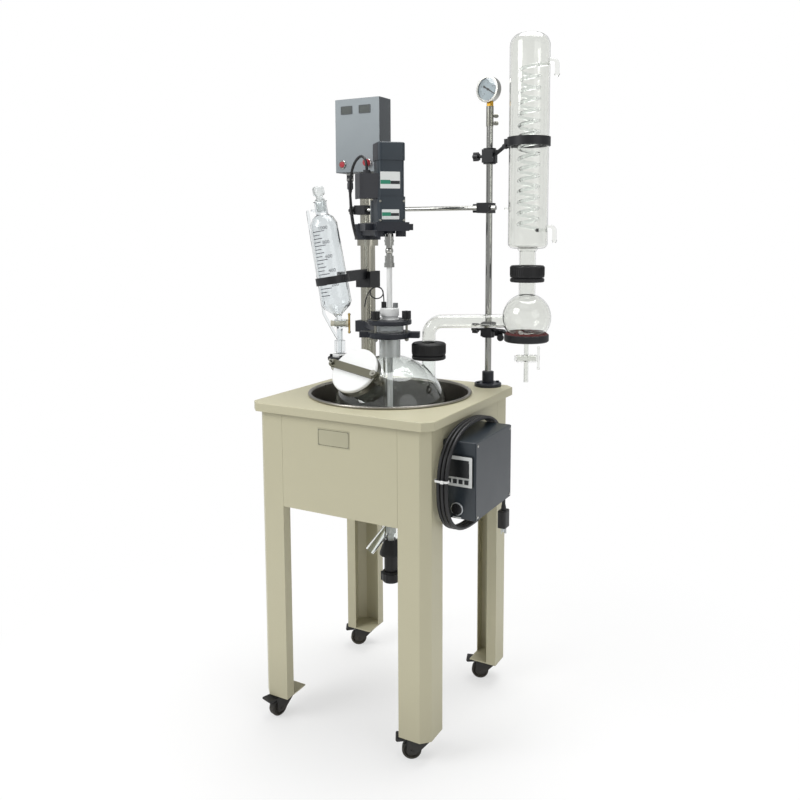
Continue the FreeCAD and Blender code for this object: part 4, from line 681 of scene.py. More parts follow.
    @classmethod
    def fit(
        cls,
        name: str,
        mesh: bmesh.types.BMesh,
        finish: Finish | Glass | PaintedGlow,
        slot: str,
        body: str = STAND,
        matrix: Matrix | None = None,
    ) -> bpy.types.Object:
        """Turns a mesh into a dressed piece on its body.

        Args:
            name: The piece's name.
            mesh: Its mesh, used up here.
            finish: What it is finished in.
            slot: The record's material slot; not used.
            body: The body it rides on.
            matrix: Where it goes, if the mesh isn't in place already.

        Returns:
            The piece.
        """
        if matrix is not None:
            bmesh.ops.transform(mesh, matrix=matrix, verts=mesh.verts)
        data = bpy.data.meshes.new(name)
        mesh.to_mesh(data)
        mesh.free()
        data.materials.append(PAINTS(finish))
        piece = bpy.data.objects.new(name, data)
        bpy.context.scene.collection.objects.link(piece)
        cls.soften(piece)
        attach(piece, body)
        LOG.info("piece %s on %s", name, body)
        return piece


# Carried-over nodes
@dataclass(frozen=True)
class Zone:
    """A part of a node that has a finish of its own."""

    finish: Finish | Glass | PaintedGlow
    holds: Test


def above(level: float) -> Test:
    """A test for facets over a level."""
    return lambda spot: spot.z > level


def below(level: float) -> Test:
    """A test for facets under a level."""
    return lambda spot: spot.z < level


def behind(line: float) -> Test:
    """A test for facets further back than a line."""
    return lambda spot: spot.y > line


def around(axis: Vector, reach: float, low: float, high: float = math.inf) -> Test:
    """A test for facets round an upright axis.

    Args:
        axis: A point of the axis.
        reach: How far from it they may lie.
        low: The level that they are over.
        high: The level that they are under.

    Returns:
        The test, which takes a facet's middle.
    """
    return lambda spot: low < spot.z < high and (spot - axis).xy.length < reach


def dress(node: str, finish: Finish | Glass | PaintedGlow, *zones: Zone) -> None:
    """Gives a carried-over node its finish, and each zone of it another.

    Args:
        node: The node's name.
        finish: The finish of all that no zone holds.
        zones: Parts with their own finish, told by the middle of each facet.
    """
    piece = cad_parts[node]
    piece.data.materials.clear()
    piece.data.materials.append(PAINTS(finish))
    for zone in zones:
        piece.data.materials.append(PAINTS(zone.finish))
    for polygon in piece.data.polygons:
        polygon.material_index = 0
        for number, zone in enumerate(zones):
            if zone.holds(polygon.center):
                polygon.material_index = number + 1
    weld = piece.modifiers.new("weld", "WELD")
    weld.merge_threshold = WELD
    Workshop.soften(piece)
    LOG.info("node %s in %s", node, finish.name)


# Sub-assemblies
class Assembly:
    """What the object's sub-assemblies have in common."""

    def build(self) -> None:
        """Adds no piece, unless the sub-assembly has its own."""

    def dress(self) -> None:
        """Finishes no node, unless the sub-assembly has its own."""


@dataclass
class Table(Assembly):
    """The sheet steel table with its bare plate."""

    plate_wide: float = 0.090
    plate_tall: float = 0.043
    plate_thick: float = 0.0008
    plate_across: float = -0.0105
    plate_level: float = 0.750
    line_inset: float = 0.0025
    line_wide: float = 0.0009
    rivet: float = 0.0016
    rivet_inset: float = 0.0045

    def build(self) -> None:
        """Makes the bare plate, its border line and four rivets."""
        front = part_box("apron_panels")[0].y
        face = Face(Vector((self.plate_across, front, self.plate_level)), RIGHT)
        wide, tall, thick = self.plate_wide, self.plate_tall, self.plate_thick
        plate = Workshop.slab(Workshop.outline(wide, tall, 0.002), thick, 0.0003)
        Workshop.fit("table_plate", plate, PLATE, "silver_panel", matrix=face.matrix())
        inset = 2 * self.line_inset
        border = Workshop.ring(wide - inset, tall - inset, self.line_wide, 0.0015, 0.0002)
        Workshop.fit("table_plate_line", border, PLATE_EDGE, "silver_panel",
                     matrix=face.matrix(out=thick))
        dome = [(0.0, 0.0009), (self.rivet * 0.6, 0.0007), (self.rivet, 0.0), (0.0, 0.0)]
        spots = Workshop.four(wide / 2 - self.rivet_inset, tall / 2 - self.rivet_inset)
        rivets = [(Workshop.lathe(dome, 16), Matrix.Translation((x, y, thick))) for x, y in spots]
        Workshop.fit("table_rivets", Workshop.together(rivets), STAINLESS, "stainless",
                     matrix=face.matrix())

    def dress(self) -> None:
        """Paints the sheet metal."""
        for node in ("table_top", "table_legs", "apron_panels"):
            dress(node, CABINET)


@dataclass
class Casters(Assembly):
    """Four swivel casters, each with a hub cap on both sides of its wheel."""

    corners: tuple[str, ...] = ("front_left", "front_right", "back_right", "back_left")
    turns: tuple[float, ...] = (-15.0, -61.0, -70.0, -60.0)
    cap: float = 0.0088
    bore: float = 0.0035
    cap_out: float = 0.0084
    plate_low: float = 0.0545

    def build(self) -> None:
        """Makes the hub caps."""
        profile = [(self.bore, 0.0), (self.cap, 0.0), (self.cap, 0.0006), (0.0066, 0.0016),
                   (0.0045, 0.0016), (self.bore, 0.0008)]
        for corner, turn in zip(self.corners, self.turns):
            low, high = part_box(f"caster_wheel_{corner}")
            axle = Matrix.Rotation(math.radians(turn), 3, "Z") @ RIGHT
            caps = []
            for side in (-1, 1):
                face = Face((low + high) / 2, UP.cross(axle * side))
                caps.append((Workshop.lathe(profile, 32), face.matrix(out=self.cap_out)))
            Workshop.fit(f"caster_caps_{corner}", Workshop.together(caps), HUB, "black_plastic",
                         f"wheel_{corner}")

    def dress(self) -> None:
        """Finishes the forks, wheels and pedals."""
        for corner in self.corners:
            dress(f"caster_fork_{corner}", PEDAL, Zone(ZINC, above(self.plate_low)))
            dress(f"caster_wheel_{corner}", WHEEL)
            dress(f"caster_pedal_{corner}", PEDAL)


class Bath(Assembly):
    """The heating bath let into the table top."""

    def dress(self) -> None:
        """Finishes the pan and the heating ring."""
        dress("bath_pan", POLISHED_BATH)
        dress("heating_ring", STAINLESS)


@dataclass
class Posts(Assembly):
    """The fluted column, the round rod and what clamps on them."""

    column_across: float = -0.190
    tie_level: float = 1.290
    tie_back: float = 0.184
    tie_half: float = 0.0065
    tie_over: float = 0.012
    collar: Spot2 = (1.185, 1.2075)
    feet_top: float = 0.87
    block_low: float = 1.256
    pad_radius: float = 0.0555
    pad_low: float = 0.9505

    def _tie(self, spot: Vector) -> bool:
        """Whether a facet is on the tie rod between its clamps."""
        near = max(abs(spot.z - self.tie_level), abs(spot.y - self.tie_back)) < self.tie_half
        return near and spot.x > self.column_across - self.tie_over

    def _collar(self, spot: Vector) -> bool:
        """Whether a facet is on the column's collar under the drive arm."""
        return self.collar[0] < spot.z < self.collar[1] and spot.x < 0

    def dress(self) -> None:
        """Finishes the column, the rod and their fittings."""
        dress("main_column", ALUMINIUM)
        dress("support_rod", CHROME)
        dress("rod_fittings", BLACK_STEEL, Zone(CHROME, self._tie), Zone(ALUMINIUM, self._collar),
              Zone(NAVY, below(self.feet_top)))
        dress("motor_bracket", NAVY, Zone(SILVER, above(self.block_low)))
        dress("funnel_clamp", BLACK_STEEL)
        dress("condenser_strap", BLACK_STEEL)
        pad = around(BALL_AXIS, self.pad_radius, self.pad_low)
        dress("receiver_ring", BLACK_STEEL, Zone(RED_PAD, pad))


@dataclass
class Vessel(Assembly):
    """The reaction flask with its head and clamp."""

    flange: Spot2 = (0.06, 0.957)
    neck: Spot2 = (0.04, 0.912)
    knob_low: float = 1.0085
    nut_low: float = 1.0372
    grip_low: float = 1.0375

    def dress(self) -> None:
        """Finishes the flask, its lid, the clamp, the seal and the shaft."""
        flange = Zone(FLANGE_GLASS, around(VESSEL_AXIS, *self.flange))
        neck = Zone(FROSTED, around(VESSEL_AXIS, *self.neck))
        dress("reactor_flask", VESSEL_GLASS, flange, neck)
        dress("flask_lid", FLANGE_GLASS)
        dress("vessel_clamp", NAVY)
        dress("clamp_plate", NAVY)
        dress("clamp_screws", BLACK_PLASTIC, Zone(STAINLESS, below(self.knob_low)))
        dress("stir_seal", PTFE, Zone(HUB, above(self.nut_low)))
        dress("temperature_probe", STAINLESS, Zone(BLACK_PLASTIC, above(self.grip_low)))
        dress("stirrer", PTFE)


@dataclass(frozen=True)
class Label:
    """A bare white label with a green band on its left and a black one on its right."""

    name: str
    level: float
    wide: float
    tall: float
    band_up: float
    band_tall: float


@dataclass
class Drive(Assembly):
    """The motor, its gear case, the shaft joint and their bare labels."""

    turn: float = 42.8
    motor_half: float = 0.033
    case_half: float = 0.0355
    motor_label: Label = Label("motor_label", 1.356, 0.050, 0.041, -0.0047, 0.0100)
    case_label: Label = Label("case_label", 1.272, 0.044, 0.0245, 0.0006, 0.0090)
    label_across: float = -0.004
    sheet: float = 0.0003
    band: float = 0.00012
    screws_level: float = 1.281
    screws_half: Spot2 = (0.030, 0.0235)

    def _side(self, reach: float, level: float) -> Face:
        """The plane of the drive's side that looks at the viewer.

        Args:
            reach: How far it is from the shaft.
            level: The height of its origin.

        Returns:
            The plane.
        """
        out = compass(self.turn)
        return Face(VESSEL_AXIS + UP * level + out * reach, UP.cross(out))

    def _label(self, label: Label, reach: float) -> None:
        """Makes one label.

        Args:
            label: Its sizes.
            reach: How far the plane under it is from the shaft.
        """
        face = self._side(reach, label.level)
        wide, left = label.wide, self.label_across
        sheet = Workshop.slab(Workshop.outline(wide, label.tall, 0.0015), self.sheet, 0.0001)
        Workshop.fit(label.name, sheet, LABEL, "silver_panel", matrix=face.matrix(left))
        green = Workshop.slab(Workshop.outline(wide * 0.5, label.band_tall, 0.0003), self.band)
        Workshop.fit(f"{label.name}_band", green, LABEL_GREEN, "silver_panel",
                     matrix=face.matrix(left - wide * 0.24, label.band_up, self.sheet))
        black = Workshop.slab(Workshop.outline(wide * 0.47, label.band_tall * 0.8, 0.0003), self.band)
        level = label.band_up - label.band_tall * 0.1
        Workshop.fit(f"{label.name}_bar", black, KEY, "silver_panel",
                     matrix=face.matrix(left + wide * 0.25, level, self.sheet))

    def build(self) -> None:
        """Makes both labels and the long screws that hold the gear case."""
        self._label(self.motor_label, self.motor_half)
        self._label(self.case_label, self.case_half)
        face = self._side(self.case_half, self.screws_level)
        head = [(0.0, 0.0022), (0.0024, 0.0022), (0.003, 0.0014), (0.003, 0.0), (0.0, 0.0)]
        parts = [(Workshop.lathe(head, 16), face.matrix(x, y)) for x, y in Workshop.four(*self.screws_half)]
        Workshop.fit("case_screws", Workshop.together(parts), STAINLESS, "stainless")

    def dress(self) -> None:
        """Finishes the drive."""
        dress("motor", SLATE, Zone(TERMINAL_GREY, self._terminal))
        dress("gearbox", SLATE)
        dress("shaft_coupling", CHROME)

    def _terminal(self, spot: Vector) -> bool:
        """Whether a facet is on the terminal box or its gland."""
        across = UP.cross(compass(self.turn))
        return (spot - VESSEL_AXIS).dot(across) < -self.motor_half - 0.001


class FeedPort(Assembly):
    """The slanting feed port with its white cover, bar and hand nut."""

    def dress(self) -> None:
        """Finishes the port's pieces."""
        dress("feed_clamp", STAINLESS)
        dress("feed_cover", PTFE)
        dress("feed_strap", BAR_STEEL)
        dress("feed_nut", STAINLESS)


@dataclass
class Funnel(Assembly):
    """The dropping funnel with its printed scale."""

    foot: Vector = field(default_factory=lambda: Vector((-0.134, -0.0185, 0.993)))
    axis: Vector = field(default_factory=lambda: Vector((-0.153, -0.0325, 0.9877)).normalized())
    viewer: Vector = field(default_factory=lambda: Vector((0.565, -0.825, 0.0)))
    low: Spot2 = (0.054, 0.040)
    high: Spot2 = (0.260, 0.035)
    first_mark: float = 0.0760
    mark_gap: float = 0.00916
    marks: int = 19
    number_size: float = 0.0125
    number_rise: float = 0.0070
    number_offsets: tuple[float, ...] = (0.0044, 0.0028, 0.0, -0.0016, -0.0043)
    strokes: tuple[float, float, float] = (0.034, 0.027, 0.021)
    stroke_wide: float = 0.0018
    stroke_left: float = -58.0
    stroke_cuts: int = 10
    ink: float = 0.0003
    tap_turn: float = 118.0
    tap_nut: Spot2 = (0.0225, 0.0275)
    lid: Spot2 = (0.0205, 0.9061)

    def _radius(self, level: float) -> float:
        """The glass's outer radius at a height along the axis."""
        share = (level - self.low[0]) / (self.high[0] - self.low[0])
        return self.low[1] + (self.high[1] - self.low[1]) * share

    def _wrap(self, mesh: bmesh.types.BMesh, level: float, turn: float) -> bmesh.types.BMesh:
        """Lays a flat mesh on the glass.

        Args:
            mesh: Drawn about its middle in X and Y, rising in Z.
            level: The height of its middle along the axis.
            turn: Its middle in degrees from the side that faces the viewer, to the right.

        Returns:
            The same mesh, bent round the funnel.
        """
        front = (self.viewer - self.axis * self.viewer.dot(self.axis)).normalized()
        right = self.axis.cross(front)
        for vert in mesh.verts:
            height = level + vert.co.y
            reach = self._radius(height)
            angle = math.radians(turn) + vert.co.x / reach
            out = front * math.cos(angle) + right * math.sin(angle)
            vert.co = self.foot + self.axis * height + out * (reach + 0.0001 + vert.co.z)
        return mesh

    def _stroke(self, long: float) -> bmesh.types.BMesh:
        """Draws a printed stroke, cut across so that it can bend.

        Args:
            long: Its length.

        Returns:
            The stroke about the middle, along X.
        """
        made = bmesh.new()
        half = self.stroke_wide / 2
        rows = []
        for k in range(self.stroke_cuts + 1):
            x = long * (k / self.stroke_cuts - 0.5)
            corners = [(x, -half, 0.0), (x, half, 0.0), (x, half, self.ink), (x, -half, self.ink)]
            rows.append([made.verts.new(spot) for spot in corners])
        for low, high in zip(rows, rows[1:]):
            for k in range(4):
                after = (k + 1) % 4
                made.faces.new((low[k], low[after], high[after], high[k]))
        made.faces.new(rows[0])
        made.faces.new(list(reversed(rows[-1])))
        bmesh.ops.recalc_face_normals(made, faces=made.faces)
        return made

    def build(self) -> None:
        """Prints the strokes and the plain numbers on the glass."""
        parts = []
        numbered, even, odd = self.strokes
        for k in range(self.marks):
            level = self.first_mark + self.mark_gap * k
            long = numbered if k % 4 == 2 else even if k % 2 == 0 else odd
            middle = self.stroke_left + math.degrees(long / 2 / self._radius(level))
            parts.append((self._wrap(self._stroke(long), level, middle), Matrix()))
        for k, offset in enumerate(self.number_offsets):
            level = self.first_mark + self.mark_gap * (4 * k + 2) + self.number_rise
            words = Workshop.lettering(str(200 * (k + 1)), self.number_size)
            parts.append((self._wrap(words, level, math.degrees(offset / self._radius(level))), Matrix()))
        Workshop.fit("funnel_scale", Workshop.together(parts), INK, "needle")

    def dress(self) -> None:
        """Finishes the funnel's pieces."""
        dress("funnel_body", FUNNEL_GLASS)
        dress("funnel_stopper", FROSTED)
        dress("funnel_tap", KEY_PTFE, Zone(STAINLESS, self._handle), Zone(TAP_NUT, self._tap_nut))
        dress("funnel_port", BLACK_PLASTIC, Zone(PTFE, around(self.foot, *self.lid)))

    def _along(self, spot: Vector) -> float:
        """How far a facet is along the tap's key from the funnel's stem."""
        return (spot - self.foot).dot(compass(self.tap_turn))

    def _handle(self, spot: Vector) -> bool:
        """Whether a facet is on the tap's wire handle."""
        return self._along(spot) > self.tap_nut[1]

    def _tap_nut(self, spot: Vector) -> bool:
        """Whether a facet is on the tap's yellow nut."""
        return self.tap_nut[0] < self._along(spot) <= self.tap_nut[1]


@dataclass
class RefluxLine(Assembly):
    """The bend, the receiver ball, the condenser and their black screw couplings."""

    spots: tuple[Point, ...] = ((0.0866, 0.0600, 0.9165), (0.3040, 0.1855, 1.1130))
    grip: float = 0.0434
    ribs: int = 48
    rib_level: float = 0.0155
    rib: Point = (0.0022, 0.022, 0.0007)
    coil_radius: float = 0.036
    coil: Spot2 = (1.215, 1.655)

    def build(self) -> None:
        """Makes the ribs round each coupling nut."""
        wide, tall, thick = self.rib
        parts = []
        for spot in self.spots:
            for k in range(self.ribs):
                out = compass(360 * k / self.ribs)
                foot = Vector(spot) + UP * self.rib_level + out * self.grip
                rib = Workshop.slab(Workshop.outline(wide, tall, 0.0007, 2), thick, 0.0004)
                parts.append((rib, Face(foot, UP.cross(out)).matrix()))
        Workshop.fit("coupling_ribs", Workshop.together(parts), BLACK_PLASTIC, "black_plastic")

    def dress(self) -> None:
        """Finishes the line."""
        dress("receiver_ball", LINE_GLASS)
        dress("condenser", LINE_GLASS, Zone(COIL_GLASS, around(BALL_AXIS, self.coil_radius, *self.coil)))
        dress("screw_couplings", BLACK_PLASTIC)
        dress("receiver_tap", LINE_GLASS)


@dataclass
class Gauge(Assembly):
    """The dial gauge on the rod."""

    centre: Vector = field(default_factory=lambda: Vector((0.185, 0.215, 1.593)))
    turn: float = -12.0
    floor: float = 0.009
    radius: float = 0.0288
    hub: float = 0.0034
    sheet: float = 0.0004
    lens: float = 0.0135
    lens_thick: float = 0.0012
    sweep: float = 270.0
    marks: int = 40
    marks_reach: float = 0.0238
    long_mark: Spot2 = (0.0042, 0.0008)
    short_mark: Spot2 = (0.0024, 0.00035)
    number_reach: float = 0.0158
    number_size: float = 0.0052
    brass: Spot2 = (1.5488, 1.5605)
    brass_half: float = 0.011

    def build(self) -> None:
        """Makes the dial with a hole for the needle's hub, its scale, and the lens."""
        out = compass(self.turn)
        face = Face(self.centre + out * self.floor, UP.cross(out))
        dial = [(self.hub, 0.0), (self.radius, 0.0), (self.radius, self.sheet), (self.hub, self.sheet)]
        Workshop.fit("gauge_dial", Workshop.lathe(dial), DIAL, "ptfe", matrix=face.matrix())
        parts = []
        for k in range(self.marks + 1):
            angle = math.radians(self.sweep * (k / self.marks - 0.5))
            numbered = k % 10 == 0
            long, wide = self.long_mark if numbered else self.short_mark
            reach = self.marks_reach - long / 2
            stroke = Workshop.slab(Workshop.outline(wide, long, 0.0001, 1), 0.00015)
            spot = Matrix.Translation((math.sin(angle) * reach, math.cos(angle) * reach, self.sheet))
            parts.append((stroke, spot @ Matrix.Rotation(-angle, 4, "Z")))
            if numbered:
                words = Workshop.lettering(str(k // 4), self.number_size, 0.00008)
                x, y = math.sin(angle) * self.number_reach, math.cos(angle) * self.number_reach
                parts.append((words, Matrix.Translation((x, y, self.sheet + 0.0001))))
        Workshop.fit("gauge_scale", Workshop.together(parts), INK, "needle", matrix=face.matrix())
        low, high = self.lens - self.floor, self.lens - self.floor + self.lens_thick
        lens = [(0.0, low), (self.radius, low), (self.radius, high), (0.0, high)]
        Workshop.fit("gauge_lens", Workshop.lathe(lens), LENS, "glass", matrix=face.matrix())

    def dress(self) -> None:
        """Finishes the case, the brass nut, the manifold and the needle."""
        dress("vacuum_gauge", CHROME, Zone(BRASS, self._brass), Zone(STAINLESS, below(self.brass[0])))
        dress("gauge_needle", NEEDLE)

    def _brass(self, spot: Vector) -> bool:
        """Whether a facet is on the brass nut under the case."""
        low, high = self.brass
        return low < spot.z < high and abs(spot.x - self.centre.x) < self.brass_half


@dataclass
class ControlBox(Assembly):
    """The speed control box on the column."""

    middle: Vector = field(default_factory=lambda: Vector((-0.169, 0.132, 1.4895)))
    side_gap: float = 0.0016
    panel_tall: float = 0.1954
    sheet: float = 0.0009
    windows: tuple[float, ...] = (-0.2020, -0.1445)
    window_level: float = 1.558
    window: Spot2 = (0.036, 0.022)
    rim: float = 0.0015
    rings: tuple[Point, ...] = ((-0.217, 1.413, 0.0116), (-0.136, 1.415, 0.0108))
    socket_top: float = 1.3905

    def build(self) -> None:
        """Makes the front panel, both windows and the rings round the switch and the knob."""
        low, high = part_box("control_box")
        face = Face(self.middle, RIGHT)
        sheet = Workshop.outline(high.x - low.x - self.side_gap, self.panel_tall, 0.0012)
        Workshop.fit("control_panel", Workshop.slab(sheet, self.sheet, 0.0003), SILVER, "silver_panel",
                     matrix=face.matrix())
        wide, tall = self.window
        for number, across in enumerate(self.windows):
            place = face.matrix(across - self.middle.x, self.window_level - self.middle.z, self.sheet)
            rim = Workshop.ring(wide, tall, 0.0016, 0.0012, 0.0014)
            Workshop.fit(f"window_rim_{number}", rim, BOX_GREY, "silver_panel", matrix=place)
            pane = Workshop.outline(wide - 2 * self.rim, tall - 2 * self.rim, 0.0008)
            # the window pane's finish carries painted light, a faint emission
            Workshop.fit(f"window_glass_{number}", Workshop.slab(pane, 0.0009, 0.0002), LCD, "glass",
                         matrix=place)
        rings = []
        for across, level, size in self.rings:
            bore = size - 0.003
            ring = [(bore, 0.0), (size, 0.0), (size, 0.0016), (size - 0.001, 0.0028), (bore, 0.0028)]
            place = face.matrix(across - self.middle.x, level - self.middle.z, self.sheet)
            rings.append((Workshop.lathe(ring), place))
        Workshop.fit("control_rings", Workshop.together(rings), CHROME, "chrome")

    def dress(self) -> None:
        """Finishes the box and its controls."""
        dress("control_box", BOX_GREY, Zone(CHROME, below(self.socket_top)))
        # the switch and the knob carry painted light, a faint red emission
        dress("power_switch", RED_PAINTED_GLOW)
        dress("speed_knob", RED_PAINTED_GLOW)


@dataclass
class HeaterBox(Assembly):
    """The bath's heating box on the table's side."""

    controller: Vector = field(default_factory=lambda: Vector((0.2775, -0.167, 0.694)))
    screen: Spot2 = (0.0545, 0.0405)
    screen_up: float = 0.0065
    screen_sunk: float = 0.0012
    keys: int = 4
    key: float = 0.0088
    key_rim: float = 0.0102
    key_first: float = -0.0215
    key_gap: float = 0.0143
    key_up: float = -0.0235
    dial: Vector = field(default_factory=lambda: Vector((0.2725, -0.160, 0.604)))
    mark: Spot2 = (0.021, 0.0042)
    mark_up: float = -0.0205
    cover: Vector = field(default_factory=lambda: Vector((0.3185, -0.056, 0.671)))
    cover_size: Spot2 = (0.2066, 0.1786)
    screws_across: Spot2 = (-0.095, 0.096)
    screws_up: Spot2 = (-0.082, 0.082)
    gland_line: float = 0.0482
    bezel_line: float = -0.1655

    def build(self) -> None:
        """Makes the screen, the keys, the dial's ring and mark, and the side cover's screws."""
        face = Face(self.controller, RIGHT)
        screen = Workshop.slab(Workshop.outline(*self.screen, 0.0006), 0.0016, 0.0003)
        # the screen's finish carries painted light, a faint emission
        Workshop.fit("controller_screen", screen, SCREEN, "glass",
                     matrix=face.matrix(0.0, self.screen_up, -self.screen_sunk))
        keys, rims = [], []
        for k in range(self.keys):
            place = face.matrix(self.key_first + self.key_gap * k, self.key_up)
            key = Workshop.slab(Workshop.outline(self.key, self.key, 0.001), 0.0010, 0.0003)
            keys.append((key, place))
            rims.append((Workshop.ring(self.key_rim, self.key_rim, 0.0006, 0.0012, 0.0005), place))
        Workshop.fit("controller_keys", Workshop.together(keys), KEY, "black_plastic")
        Workshop.fit("controller_key_rims", Workshop.together(rims), BOX_GREY, "black_plastic")
        self._dial()
        self._cover()

    def _dial(self) -> None:
        """Makes the bright ring round the switch and the bare white mark under it."""
        face = Face(self.dial, RIGHT)
        ring = [(0.0126, 0.0), (0.0152, 0.0), (0.0152, 0.0014), (0.0143, 0.0026), (0.0126, 0.0026)]
        Workshop.fit("dial_ring", Workshop.lathe(ring), RING_STEEL, "chrome", matrix=face.matrix())
        mark = Workshop.slab(Workshop.outline(*self.mark, 0.001), 0.0004, 0.0001)
        Workshop.fit("dial_mark", mark, LABEL, "silver_panel", matrix=face.matrix(0.0, self.mark_up))

    def _cover(self) -> None:
        """Makes the side cover's sheet and its four screws."""
        face = Face(self.cover, BACK)
        sheet = Workshop.slab(Workshop.outline(*self.cover_size, 0.0015), 0.0010, 0.0004)
        Workshop.fit("heater_cover", sheet, BOX_BLUE, "blue_grey", matrix=face.matrix())
        head = [(0.0, 0.0018), (0.0022, 0.0016), (0.0034, 0.0006), (0.0034, 0.0), (0.0, 0.0)]
        parts = [(Workshop.lathe(head, 20), face.matrix(across, up, 0.0009))
                 for across in self.screws_across for up in self.screws_up]
        Workshop.fit("cover_screws", Workshop.together(parts), CHROME, "stainless")

    def dress(self) -> None:
        """Finishes the box and its controls."""
        dress("heater_box", BOX_BLUE, Zone(BLACK_PLASTIC, behind(self.gland_line)))
        dress("temperature_controller", BEZEL, Zone(KEY, behind(self.bezel_line)))
        dress("heater_switch", BLACK_PLASTIC)


@dataclass
class Drain(Assembly):
    """The discharge valve under the flask."""

    knob_top: float = 0.3458

    def dress(self) -> None:
        """Finishes the valve and its knob."""
        dress("discharge_valve", BLACK_PLASTIC)
        dress("discharge_knob", BLACK_PLASTIC, Zone(PTFE, above(self.knob_top)))


# Cords
class CordLay(Enum):
    """How a cord lies."""

    HANGING = "hanging"
    COILED = "coiled"


@dataclass
class Cord:
    """A round cord on a smooth line through its own few points."""

    name: str
    node: str
    points: list[Vector]
    diameter: float
    length: float
    far_end: str
    stiffness: str = "medium"
    lay: CordLay = CordLay.HANGING
    order: int = 3
    steps: int = 6

    def build(self, ends: Sequence[bpy.types.Object] = ()) -> bpy.types.Object:
        """Makes the cord and logs its name and length.

        Args:
            ends: The separate pieces on it; not used.

        Returns:
            The cord.
        """
        line = bpy.data.curves.new(self.name, "CURVE")
        line.dimensions = "3D"
        line.bevel_depth = self.diameter / 2
        line.bevel_resolution = 4
        line.use_fill_caps = True
        spline = line.splines.new("NURBS")
        spline.points.add(len(self.points) - 1)
        for knot, spot in zip(spline.points, self.points):
            knot.co = (*spot, 1.0)
        spline.order_u = self.order
        spline.use_endpoint_u = True
        spline.resolution_u = self.steps
        line.materials.append(PAINTS(CORD))
        piece = bpy.data.objects.new(self.name, line)
        bpy.context.scene.collection.objects.link(piece)
        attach(piece, STAND)
        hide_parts(self.node)
        LOG.info("cord %s, %.3f m", self.name, self.length)
        return piece


